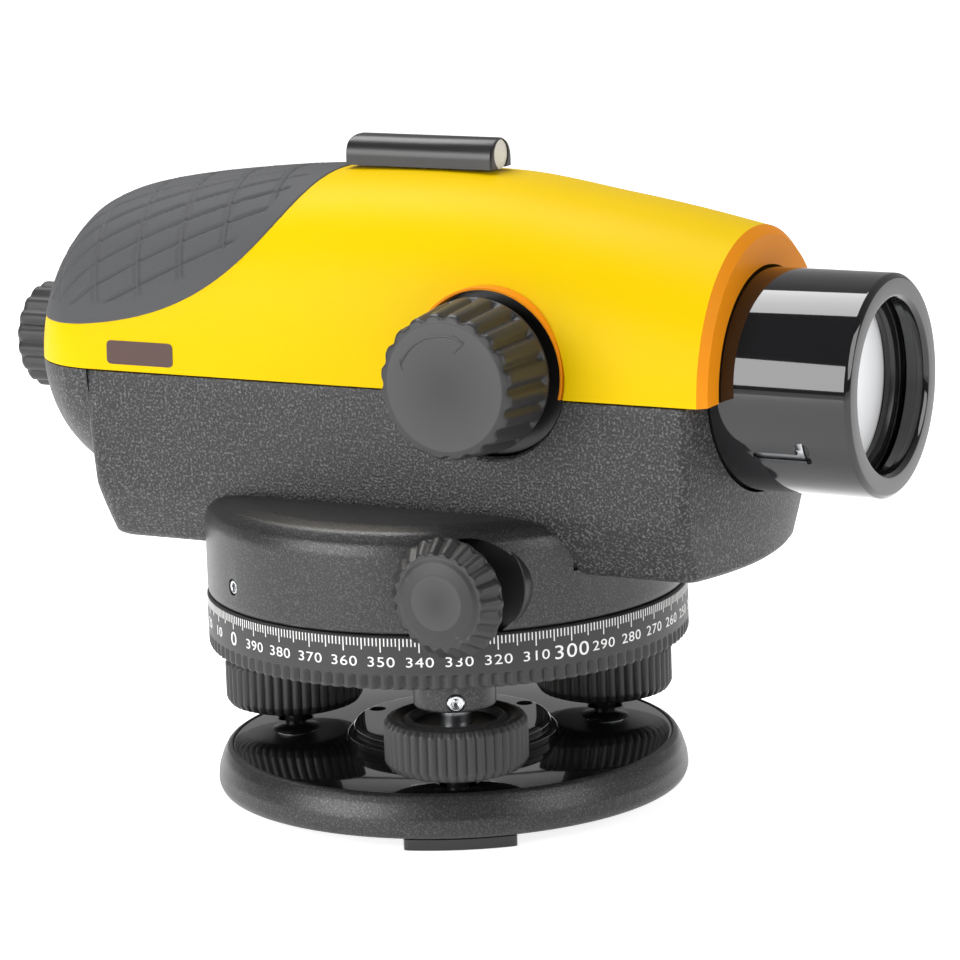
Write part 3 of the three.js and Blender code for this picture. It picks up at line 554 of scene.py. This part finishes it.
# ---- base and levelling head ----
def base():
    profile = [(12, -GROUND), (30, -GROUND), (31, RIM_BOTTOM), (48.6, RIM_BOTTOM), (51.4, -0.7),
               (BASE_R, 0.8), (51.9, 3.5), (50.9, 6.5), (49.9, 8.2), (49.1, BASE_TOP),
               (PLATE_R + 0.1, BASE_TOP),
               (PLATE_R + 0.1, PLATE_BOTTOM - 0.3), (46, PLATE_BOTTOM - 0.3), (46, FLOOR_TOP),
               (12, FLOOR_TOP)]
    rim = lathe("base_dish", profile, segments=224, bevel=0.6, closed=True)
    carve(rim, *at_feet([(0, 0.7), (6.2, 0.7), (6.2, 12), (0, 12)], FOOT_RADIUS, 48))
    fit(rim, "base", "base_casting", CHARCOAL, "base_plate")
    for letter, angle in FEET.items():
        base_pad(letter, angle)
    base_collar()
    glossy_plate()
    tripod_bush()


def at_feet(profile, radius, segments):
    """One cutter of a profile at each foot's angle."""
    return [lathe("cutter", profile, place=polar(a, radius), segments=segments, bevel=0)
            for a in FEET.values()]


def base_collar():
    profile = [(11.95, FLOOR_TOP), (COLLAR_R, FLOOR_TOP), (COLLAR_R, 9.9), (COLLAR_R - 0.7, 10.2),
               (COLLAR_R - 1.4, 10.0), (COLLAR_R - 1.4, 11.6), (COLLAR_R - 2.1, COLLAR_TOP),
               (13.2, COLLAR_TOP), (12.6, COLLAR_TOP - 0.8), (11.95, COLLAR_TOP - 0.8)]
    collar = lathe("base_collar", profile, segments=160, bevel=0.3, closed=True)
    well = [(0, COLLAR_TOP - 1.2), (1.7, COLLAR_TOP - 1.2), (1.7, COLLAR_TOP - 0.2),
            (2.0, COLLAR_TOP + 0.1), (0, COLLAR_TOP + 0.1)]
    fit(carve(collar, *at_feet(well, COLLAR_SCREW_RADIUS, 40)), "base", "base_casting", GLOSS)


def glossy_plate():
    inner = COLLAR_R + 0.1
    profile = [(inner, PLATE_BOTTOM), (PLATE_R, PLATE_BOTTOM), (PLATE_R, PLATE_TOP), (inner, PLATE_TOP)]
    plate = lathe("glossy_plate", profile, segments=224, bevel=0.2, closed=True)
    hole = [(0, 5), (3.9, 5), (3.9, 8.1), (4.4, 8.6), (0, 8.6)]
    fit(carve(plate, *at_feet(hole, FOOT_RADIUS, 48)), "base", "black_gloss", GLOSS, "spring_plate")


def tripod_bush():
    thread = []
    turns, steps, bottom, top = 7, 48, 0.5 - GROUND, COLLAR_TOP - 1.1
    for i in range(turns * steps + 1):
        z = bottom + (top - bottom) * i / (turns * steps)
        angle = 2 * math.pi * i / steps
        thread.append([(r * math.cos(angle), r * math.sin(angle), z + dz)
                       for r, dz in ((7.6, -0.4), (7.6, 1.0), (6.85, 0.45), (6.85, 0.15))])
    ridge = skin("tripod_thread", thread)
    fit(ridge, "base", "brass", BRASS)
    low, high = 0.2 - GROUND, COLLAR_TOP - 0.2
    bush = lathe("tripod_bush", [(7.5, low), (11.8, low), (11.8, high), (7.5, high)], segments=96,
                 closed=True)
    fit(bush, "base", "brass", BRASS, "thread_insert")


def base_pad(letter, angle):
    """A short curved pad under the rim, level with the boss in the middle."""
    outline = []
    for radius, ends in ((50.0, (-14, 14)), (43.0, (16, -16))):
        outline += [polar(angle + ends[0] + (ends[1] - ends[0]) * i / 12, radius)[:2] for i in range(13)]
    outline = rounded(outline, 0.8, True, 2)
    rings = [[(x, y, z) for x, y in outline] for z in (-GROUND + 0.05, -GROUND + 0.4, RIM_BOTTOM + 0.1)]
    fit(skin(f"rim_pad_{letter}", rings), "base", "base_casting", SATIN)


def foot_screw(letter, angle):
    place = polar(angle, FOOT_RADIUS)
    teeth = 44

    def knurl(a, r, h):
        if r < KNOB_R - 1.6:
            return r
        wave = 0.5 + 0.5 * math.cos(a * teeth)
        return r - 0.55 * (1 - wave ** 0.45)
    profile = [(3.5, KNOB_BOTTOM), (11.8, KNOB_BOTTOM), (14.4, KNOB_BOTTOM + 0.9),
               (KNOB_R, KNOB_BOTTOM + 2.4), (KNOB_R, KNOB_TOP - 1.5), (KNOB_R - 0.8, KNOB_TOP - 0.35),
               (KNOB_R - 2, KNOB_TOP), (12.2, KNOB_TOP - 0.5), (11.4, KNOB_TOP - 1.1),
               (10.4, KNOB_TOP - 0.25), (9.6, KNOB_TOP - 0.35), (9.2, KNOB_TOP - 1.9),
               (3.5, KNOB_TOP - 1.9)]
    knob = lathe(f"leveling_knob_{letter}", profile, "z", place, teeth * 8, 0.35, knurl, True, 40)
    fit(knob, f"foot_{letter}", "knob_plastic", KNOB, f"foot_knob_{letter}")
    low = KNOB_BOTTOM - 0.5
    profile = [(0, low), (4.6, low), (4.6, low + 0.7), (3.4, low + 1), (3.4, 33.4), (0, 33.4)]
    stem = lathe(f"leveling_stem_{letter}", profile, "z", place, 48)
    fit(stem, f"foot_{letter}", "steel", STEEL, f"foot_spindle_{letter}")
    ball = [(0, BALL_Z - BALL_R)]
    for step in range(1, 10):
        t = step * math.pi / 12
        ball.append((BALL_R * math.sin(t), BALL_Z - BALL_R * math.cos(t)))
    ball += [(2.4, 7.6), (2.4, low - 1.4), (5.4, low - 0.8), (5.4, low - 0.2), (0, low - 0.2)]
    foot = lathe(f"ball_foot_{letter}", ball, "z", place, 48, 0.15)
    fit(foot, f"ball_{letter}", "steel", SATIN, f"foot_ball_{letter}")


def leveling_head():
    profile = [(12.1, 30), (17, 30), (19, 32.5), (48.8, 32.5), (48.8, 36.4), (17, 36.4), (17, 47),
               (12.1, 47)]
    disc = lathe("head_disc", profile, segments=160, bevel=0.5, closed=True)
    fit(disc, "head", "base_casting", SATIN, "leveling_head")
    for letter, angle in FEET.items():
        x, y, _ = polar(angle, FOOT_RADIUS)
        profile = [(3.9, COLUMN_Z), (COLUMN_R, COLUMN_Z), (COLUMN_R, 31.9), (COLUMN_R - 0.8, 32.4),
                   (COLUMN_R - 0.8, 34), (3.9, 34)]
        column = lathe(f"head_column_{letter}", profile, "z", (x, y, 0), 96, 0.5, closed=True)
        hole = lathe("cutter", [(0, 4), (2.0, 4), (2.0, 12), (0, 12)], "x", segments=32, bevel=0)
        hole.matrix_world = facing((x, y, CLAMP_SCREW_Z), angle)
        bpy.context.view_layer.update()
        carve(column, hole)
        fit(column, "head", "base_casting", CHARCOAL)
        screw_place = polar(angle, FOOT_RADIUS + COLUMN_R - 4.0, CLAMP_SCREW_Z)
        socket_screw(f"clamp_screw_{letter}", 1.85, 4.4, screw_place, angle, "head",
                     f"set_screw_{letter}")


# ---- horizontal circle ----
GRADS = 400
KNURLS = 120
WIDE_DIGITS = 1.3


def circle():
    knurl_top = 35.6

    def knurl(a, r, h):
        if h > knurl_top - 0.3 or r < CIRCLE_R - 3:
            return r
        wave = 0.5 + 0.5 * math.cos(a * KNURLS)
        fade = min(max((knurl_top - 0.3 - h) / 0.6, 0), 1)
        return r - 0.75 * fade * wave ** 1.6
    profile = [(49.2, CIRCLE_BOTTOM), (CIRCLE_R - 0.3, CIRCLE_BOTTOM)]
    first = CIRCLE_BOTTOM + 0.6
    profile += [(CIRCLE_R, first + (knurl_top - first) * i / 8) for i in range(9)]
    profile += [(CIRCLE_R, CIRCLE_TOP - 0.4), (CIRCLE_R - 0.4, CIRCLE_TOP), (49.2, CIRCLE_TOP),
                (49.2, 38.4), (42, 38.4), (42, 36.8), (49.2, 36.8)]
    ring = lathe("graduated_ring", profile, "z", segments=KNURLS * 8, bevel=0.12, grip=knurl, closed=True)
    fit(ring, "circle", "circle_plastic", CIRCLE, "circle_ring")
    points, faces = [], []
    for i in range(GRADS):
        angle = math.radians(INDEX_ANGLE - i * 360 / GRADS)
        long = 3.0 if i % 10 == 0 else 2.5 if i % 5 == 0 else 1.7
        wide = math.radians(0.13)
        high, low = CIRCLE_TOP - 0.5, CIRCLE_TOP - 0.5 - long
        start = len(points)
        for r in (CIRCLE_R - 0.02, CIRCLE_R + 0.05):
            for a, z in ((angle - wide, low), (angle + wide, low), (angle + wide, high),
                         (angle - wide, high)):
                points.append((r * math.cos(a), r * math.sin(a), z))
        quads = [(4, 5, 6, 7), (3, 2, 1, 0), (0, 1, 5, 4), (1, 2, 6, 5), (2, 3, 7, 6), (3, 0, 4, 7)]
        faces += [tuple(start + k for k in q) for q in quads]
    ticks = make("circle_ticks", points, faces)
    fit(ticks, "circle", "circle_plastic", INK)
    number_points, number_faces = [], []
    for value in range(0, GRADS, 10):
        size = 3.3 if value % 100 == 0 else 2.35
        angle = math.radians(INDEX_ANGLE - value * 360 / GRADS)
        wrapped_number(str(value), angle, size, number_points, number_faces)
    numbers = make("circle_numbers", number_points, number_faces)
    fit(numbers, "circle", "circle_plastic", INK)


def wrapped_number(text, angle, size, points, faces):
    """A number laid round the circle, its middle at one angle."""
    curve = bpy.data.curves.new("number", "FONT")
    curve.body, curve.size, curve.align_x = text, size * 1.28, "CENTER"
    curve.extrude, curve.offset, curve.space_character = 0.06, 0.0, 1.1
    holder = bpy.data.objects.new("number", curve)
    bpy.context.scene.collection.objects.link(holder)
    bpy.context.view_layer.update()
    mesh = bpy.data.meshes.new_from_object(holder.evaluated_get(bpy.context.evaluated_depsgraph_get()))
    start = len(points)
    middle = 38.1 - size * 0.43
    for v in mesh.vertices:
        turn = angle + WIDE_DIGITS * v.co.x / CIRCLE_R
        r = CIRCLE_R + v.co.z
        points.append((r * math.cos(turn), r * math.sin(turn), middle + v.co.y))
    faces += [tuple(start + k for k in p.vertices) for p in mesh.polygons]
    bpy.data.objects.remove(holder)
    bpy.data.meshes.remove(mesh)


# ---- knobs ----
def unit(value):
    return min(max(value, 0), 1)


def scallop(lobes, depth, sharpness=2.2):
    return lambda a: depth * (0.5 + 0.5 * math.cos(a * lobes)) ** sharpness


def focus_knob():
    dip = scallop(20, 1.15)
    face, rear = -49.2, -33.0

    def grip(a, r, h):
        fade = unit((r - 14.0) / 0.8) * unit((h - face) / 0.9) * unit(-34.2 - h)
        return r - dip(a) * fade
    profile = [(0, face), (13.6, face), (14.9, face + 0.35), (15.4, face + 1.1)]
    profile += [(15.4 + 1.1 * i / 8, face + 1.1 + 12.6 * i / 8) for i in range(1, 9)]
    profile += [(FOCUS_R, -34.4), (FOCUS_R - 0.4, rear), (8, rear), (0, rear)]
    knob = lathe("focusing_knob", profile, "y", (FOCUS_X, 0, FOCUS_Z), 240, 0.25, grip, sharp=40)
    fit(knob, "focus", "knob_plastic", KNOB, "focus_knob")
    arrow = []
    arrow_r = 11.2 * 0.96
    for i in range(25):
        a = math.radians(202 + 96 * i / 24)
        arrow.append((FOCUS_X + arrow_r * math.cos(a), FOCUS_Z - arrow_r * math.sin(a)))
    stroke("focus_arrow_arc", [(x, face, z) for x, z in arrow], 0.22, "focus")
    tip_x, tip_z = arrow[-1]
    start_x, start_z = arrow[0]
    head = [(tip_x - 2.6, face, tip_z + 1.6), (tip_x, face, tip_z), (tip_x - 2.4, face, tip_z - 2.2)]
    stroke("focus_arrow_head", head, 0.22, "focus")
    tail = [(start_x - 0.2, face, start_z + 1.2), (start_x + 0.4, face, start_z - 1.0)]
    stroke("focus_arrow_tail", tail, 0.2, "focus")


def stroke(name, path, radius, body):
    """A thin line drawn on a face, as a shallow round bead of dark paint."""
    rings = []
    out = Vector((0, 1, 0))
    turns = [2 * math.pi * k / 10 for k in range(10)]
    for i, p in enumerate(path):
        before, after = Vector(path[max(i - 1, 0)]), Vector(path[min(i + 1, len(path) - 1)])
        ahead = (after - before).normalized()
        side = ahead.cross(out).normalized()
        rings.append([tuple(Vector(p) + side * radius * math.cos(t) + out * 0.12 * math.sin(t))
                      for t in turns])
    line = skin(name, rings)
    fit(line, body, "knob_plastic", SATIN)


def fine_knob(name, side, node):
    dip = scallop(22, 0.9, 1.6)

    def grip(a, r, h):
        out = abs(h)
        return r - dip(a) * unit((r - 9.6) / 1.2) * unit((out - 50.2) / 0.5)
    profile = [(0, 56.0), (6, 55.85), (8.4, 55.4), (9.4, 54.9), (10.2, 54.9), (10.7, 54.5)]
    profile += [(10.7 + 2.3 * i / 6, 54.5 - 3.3 * i / 6) for i in range(1, 7)]
    profile += [(13.0, 50.4), (12.2, 50), (7.6, 49.2), (7.6, 42), (0, 42)]
    knob = lathe(name, [(r, side * h) for r, h in profile], "y", (WORM_X, 0, WORM_Z), 176, 0.25, grip,
                 sharp=40)
    fit(knob, "worm", "knob_plastic", KNOB, node)


def eyepiece():
    dip = scallop(18, 0.9, 1.8)

    def grip(a, r, h):
        return r - dip(a) * unit((r - 10.6) / 0.8) * unit((-94.6 - h) / 0.5)
    profile = [(5.6, -101.6), (7.4, -103), (11.2, -103), (EYE_KNOB_R, -102), (EYE_KNOB_R, -99),
               (EYE_KNOB_R, -96), (EYE_KNOB_R, -94.2), (EYE_KNOB_R - 0.4, -93.8), (9.8, -93.8),
               (9.8, -97.4), (5.6, -97.4)]
    knob = lathe("eyepiece_ring", profile, "x", (0, 0, SIGHT_Z), 144, 0.35, grip, True, 40)
    fit(knob, "diopter", "knob_plastic", KNOB, "diopter_knob")
    bulge = [(0, -92.2)]
    bulge += [(6.5 * i / 8, -91.6 - 0.6 * (1 - (i / 8) ** 2)) for i in range(1, 9)]
    bulge += [(6.5, -89.4), (0, -88.6)]
    eye = lathe("eyepiece_lens", bulge, "x", (0, 0, SIGHT_Z), 64, 0)
    fit(eye, "eyepiece", "optical_glass", LENS_PAINTED_REFLECTION, "eye_lens")


# ---- hood and front optics ----
def hood():
    front = HOOD_FRONT
    profile = [(22.7, HOOD_REAR), (HOOD_R, HOOD_REAR), (HOOD_R, front - 0.9), (HOOD_R - 0.9, front),
               (18.9, front), (18.1, front - 0.8), (18.1, front - 2.6), (19.4, front - 2.6),
               (19.4, 101.5), (22.7, 101.5)]
    shell = lathe("hood_shell", profile, "x", (0, 0, SIGHT_Z), 256, 0.3, closed=True)
    turn = Matrix.Translation((0, 0, SIGHT_Z * MM)) @ Matrix.Rotation(math.radians(32), 4, "X")
    slot_outline = rounded([(84, -1.2), (97, -1.2), (97, 1.0), (93.9, 1.2), (84, 1.2)], 1.0, True, 5)
    slot = skin("cutter", [[(x, y, z) for x, z in slot_outline] for y in (-30, -19)])
    port = lathe("cutter", [(0, -30), (1.75, -30), (1.75, -19), (0, -19)], "y", (95.3, 0, 2.4), 40, 0)
    for cutter in (slot, port):
        cutter.matrix_world = turn
    bpy.context.view_layer.update()
    carve(shell, slot, port, sharp=30)
    fit(shell, "hood", "black_gloss", GLOSS, "hood")


def front_optics():
    cell = [(16.8, 90.6), (20.2, 90.6), (20.2, 95.2), (22.3, 95.2), (22.3, 100.2), (19.6, 100.2),
            (19.6, 97.6), (18.6, 97.6), (18.6, 91.4), (16.8, 91.4)]
    line_of_sight = (0, 0, SIGHT_Z)
    holder = lathe("lens_cell", cell, "x", line_of_sight, 128, 0.25, closed=True)
    fit(holder, "instrument", "black_gloss", SATIN, "objective_cell")
    ring = [(17.2, 97.8), (19.4, 97.8), (19.4, 99.8), (17.9, 99.8), (17.2, 98.9)]
    retainer = lathe("lens_ring", ring, "x", line_of_sight, 128, 0.2, closed=True)
    fit(retainer, "instrument", "black_gloss", SATIN, "retaining_ring")
    face = [(0, 94.6), (18.4, 94.6), (18.4, 96.9)]
    face += [(18.4 * i / 14, 96.9 + 2 * (1 - (i / 14) ** 2)) for i in range(13, 0, -1)]
    lens = lathe("front_lens", face + [(0, 98.9)], "x", line_of_sight, 128, 0)
    fit(lens, "instrument", "optical_glass", LENS_PAINTED_REFLECTION, "objective_crown")


# ---- open sight ----
def sight():
    rear, front, half, low, high = -19.0, 16.8, 4.5, 135.5, 142.0
    section = [(-half, low), (half, low), (half, high - half)]
    for i in range(1, 24):
        t = math.pi * i / 24
        section.append((half * math.cos(t), high - half + half * math.sin(t)))
    section += [(-half, high - half)]
    section = rounded(section[:2], 0, False) + section[2:]
    rings = []
    for s in (0, 0.05, 0.15, 0.35, 0.65, 1.0, 1.8):
        drop = 1.8 - math.sqrt(max(1.8 ** 2 - (1.8 - s) ** 2, 0))
        rings.append([(rear + s, y, min(z, high - drop)) for y, z in section])
    rings += [[(x, y, z) for y, z in section] for x in (rear + 6, 0, front - 0.5)]
    rings.append([(front, y * 0.93, low + (z - low) * 0.96) for y, z in section])
    bar = skin("sight_bar", rings)
    disc_centre = (0, 0, SIGHT_DISC_Z)
    profile = [(0, front - 0.8), (3.25, front - 0.8), (3.25, front + 1), (0, front + 1)]
    carve(bar, lathe("cutter", profile, "x", disc_centre, 48, 0))
    fit(bar, "instrument", "black_gloss", SATIN, "sight_body")
    profile = [(0, front - 0.9), (3.2, front - 0.9), (3.2, front - 0.3), (0, front - 0.1)]
    disc = lathe("sight_disc", profile, "x", disc_centre, 48, 0.1)
    fit(disc, "instrument", "optical_glass", PLATE_WHITE, "sight_window")


# ---- round vial and mirror on the far side ----
def vial():
    x, y, z = -2.0, 39.8, TURRET_TOP + 0.3
    cup = [(0, z), (7.4, z), (7.8, z + 0.6), (7.8, z + 4.9), (7.3, z + 5.6), (6.4, z + 5.6),
           (6.4, z + 1.3), (0, z + 1.3)]
    fit(lathe("vial_cup", cup, "z", (x, y, 0), 96, 0.25), "instrument", "knob_plastic", KNOB,
        "vial_holder")
    body = [(0, z + 1.5), (6.1, z + 1.5), (6.1, z + 5.6), (5.2, z + 6.1), (3, z + 6.5), (0, z + 6.6)]
    fit(lathe("vial_body", body, "z", (x, y, 0), 64, 0.3), "instrument", "optical_glass", LIQUID, "vial")
    ring = [(2.1, z + 6.58), (2.4, z + 6.56), (2.4, z + 6.62), (2.1, z + 6.64)]
    fit(lathe("vial_ring", ring, "z", (x, y, 0), 48, 0, closed=True), "instrument", "knob_plastic", SATIN)
    bubble = [(0, z + 6.6), (1.6, z + 6.6), (1.2, z + 6.85), (0, z + 6.95)]
    fit(lathe("vial_bubble", bubble, "z", (x + 0.2, y - 0.1, 0), 40, 0.2), "instrument", "optical_glass",
        CLEAR)


def mirror_glass():
    """The silvered face under the flap, facing the vial and the observer."""
    hinge = Vector((11, 0, 77.2))
    down = Matrix.Rotation(math.radians(45), 3, "Y")
    corners = rounded([(-19.3, 34.0), (-3.2, 34.0), (-3.2, 45.6), (-19.3, 45.6)], 0.8, True)
    rings = []
    for z in (-1.15, -0.85):
        rings.append([tuple(down @ Vector((x, y, z)) + hinge) for x, y in corners])
    fit(skin("mirror_face", rings), "mirror", "mirror_glass", SILVER)


# ---- generic marks on the cover's side ----
def side_marks():
    badge = rounded([(-66, 93.6), (-49, 93.6), (-49, 98.8), (-66, 98.8)], 1.2, True)

    def on_side(x, z, proud):
        ratio = (z - SPLIT_Z) / along(CROWN, x)
        angle = math.asin(max(min(ratio, 1), 0) ** (along(SQUARENESS, x) / 2))
        p = arch_point(x, angle, -proud)
        return (p[0], -abs(p[1]), p[2])
    rings = [[on_side(x, z, proud) for x, z in badge] for proud in (-0.25, 0.12)]
    fit(skin("plain_badge", rings), "instrument", "yellow_paint", DARK_INK)


def carried_over():
    """CAD nodes that stay as they are: a finer edge and a proper finish."""
    finish = {"steel": STEEL, "brass": BRASS, "alloy": ALLOY, "optical_glass": CLEAR,
              "mirror_glass": KNOB, "knob_plastic": KNOB, "base_casting": CHARCOAL, "black_gloss": SATIN}
    slots = {row["node"]: row["material_slot"] for row in frame["record"]["subparts"]}
    for name, node in frame["nodes"].items():
        material = finish.get(slots.get(name))
        if material and not node.hide_render:
            node.data.materials.clear()
            node.data.materials.append(material)
            bevel = node.modifiers.new("edge", "BEVEL")
            bevel.width, bevel.segments, bevel.limit_method = 0.0002, 2, "ANGLE"


# ---- camera and light ----
def camera():
    target = Vector((8.97, 0, 66.56 + GROUND))
    distance = 962.6
    azimuth, elevation, roll = 28.52, 11.79, -1.9
    a, e = math.radians(azimuth), math.radians(elevation)
    back = Vector((math.sin(a) * math.cos(e), -math.cos(a) * math.cos(e), math.sin(e)))
    data = bpy.data.cameras.new("camera")
    data.lens, data.sensor_width, data.clip_end = 165.4, 36.0, 20.0
    obj = bpy.data.objects.new("camera", data)
    bpy.context.scene.collection.objects.link(obj)
    spin = (-back).to_track_quat("-Z", "Y").to_matrix().to_4x4()
    tilt = Matrix.Rotation(math.radians(roll), 4, "Z")
    obj.matrix_world = Matrix.Translation((target + back * distance) * MM) @ spin @ tilt
    bpy.context.scene.camera = obj


def area_light(name, place, aim, size, power):
    data = bpy.data.lights.new(name, "AREA")
    data.shape, data.size, data.size_y, data.energy = "RECTANGLE", size[0], size[1], power
    obj = bpy.data.objects.new(name, data)
    bpy.context.scene.collection.objects.link(obj)
    towards = (Vector(aim) - Vector(place)).to_track_quat("-Z", "Y").to_matrix().to_4x4()
    obj.matrix_world = Matrix.Translation(place) @ towards


def surroundings():
    """White to the camera. To everything else, brighter behind the instrument and dim in front of it."""
    world = bpy.data.worlds.new("studio")
    bpy.context.scene.world = world
    world.use_nodes = True
    nodes, links = world.node_tree.nodes, world.node_tree.links
    backdrop = nodes["Background"]
    backdrop.inputs["Color"].default_value = (1, 1, 1, 1)
    backdrop.inputs["Strength"].default_value = 1.05
    where = nodes.new("ShaderNodeTexCoord")
    split = nodes.new("ShaderNodeSeparateXYZ")
    links.new(where.outputs["Generated"], split.inputs["Vector"])
    depth = nodes.new("ShaderNodeMapRange")
    depth.inputs["From Min"].default_value = -0.15
    depth.inputs["From Max"].default_value = 0.6
    depth.inputs["To Min"].default_value = 0.1
    depth.inputs["To Max"].default_value = 0.5
    links.new(split.outputs["Y"], depth.inputs["Value"])
    room = nodes.new("ShaderNodeBackground")
    links.new(depth.outputs["Result"], room.inputs["Strength"])
    seen = nodes.new("ShaderNodeLightPath")
    choose = nodes.new("ShaderNodeMixShader")
    links.new(seen.outputs["Is Camera Ray"], choose.inputs["Fac"])
    links.new(room.outputs["Background"], choose.inputs[1])
    links.new(backdrop.outputs["Background"], choose.inputs[2])
    links.new(choose.outputs["Shader"], nodes["World Output"].inputs["Surface"])


def floor():
    """A pale sheet with a glow of its own, so that it reads as white."""
    mesh = bpy.data.meshes.new("floor")
    reach = 4.0
    corners = [(-reach, -reach, 0), (reach, -reach, 0), (reach, reach, 0), (-reach, reach, 0)]
    mesh.from_pydata(corners, [], [(0, 1, 2, 3)])
    sheet = bpy.data.objects.new("floor", mesh)
    bpy.context.scene.collection.objects.link(sheet)
    sheet.location.z = -0.0002
    pale = coat("pale_floor", (0.82, 0.82, 0.82), 0.8, vary=0.01, spots=60, bump=0.0)
    shader = pale.node_tree.nodes["Principled BSDF"]
    shader.inputs["Specular IOR Level"].default_value = 0.1
    shader.inputs["Emission Color"].default_value = (1, 1, 1, 1)
    shader.inputs["Emission Strength"].default_value = 0.8
    mesh.materials.append(pale)


def studio():
    bpy.context.scene.view_settings.view_transform = "Standard"
    surroundings()
    floor()
    area_light("overhead", (-0.36, 0.11, 0.88), (-0.36, 0.11, 0), (0.7, 0.46), 8)
    area_light("left_panel", (-0.44, -0.9, 0.37), (0.02, 0, 0.12), (0.8, 0.46), 8.5)
    area_light("right_panel", (0.95, -0.15, 0.45), (0.02, 0, 0.1), (0.5, 0.5), 3.5)


camera()
base()
for foot_letter, foot_angle in FEET.items():
    foot_screw(foot_letter, foot_angle)
leveling_head()
circle()
turret()
socket_screw("index_mark", 1.65, 3.2, polar(INDEX_ANGLE, TURRET_R - 3.4, INDEX_Z), INDEX_ANGLE,
             "instrument", "index_screw")
lower_casting()
top_cover()
rubber_grip()
side_marks()
focus_knob()
fine_knob("fine_motion_knob_near", -1, "fine_knob_near")
fine_knob("fine_motion_knob_far", 1, "fine_knob_far")
eyepiece()
hood()
front_optics()
sight()
vial()
mirror_glass()
carried_over()
studio()
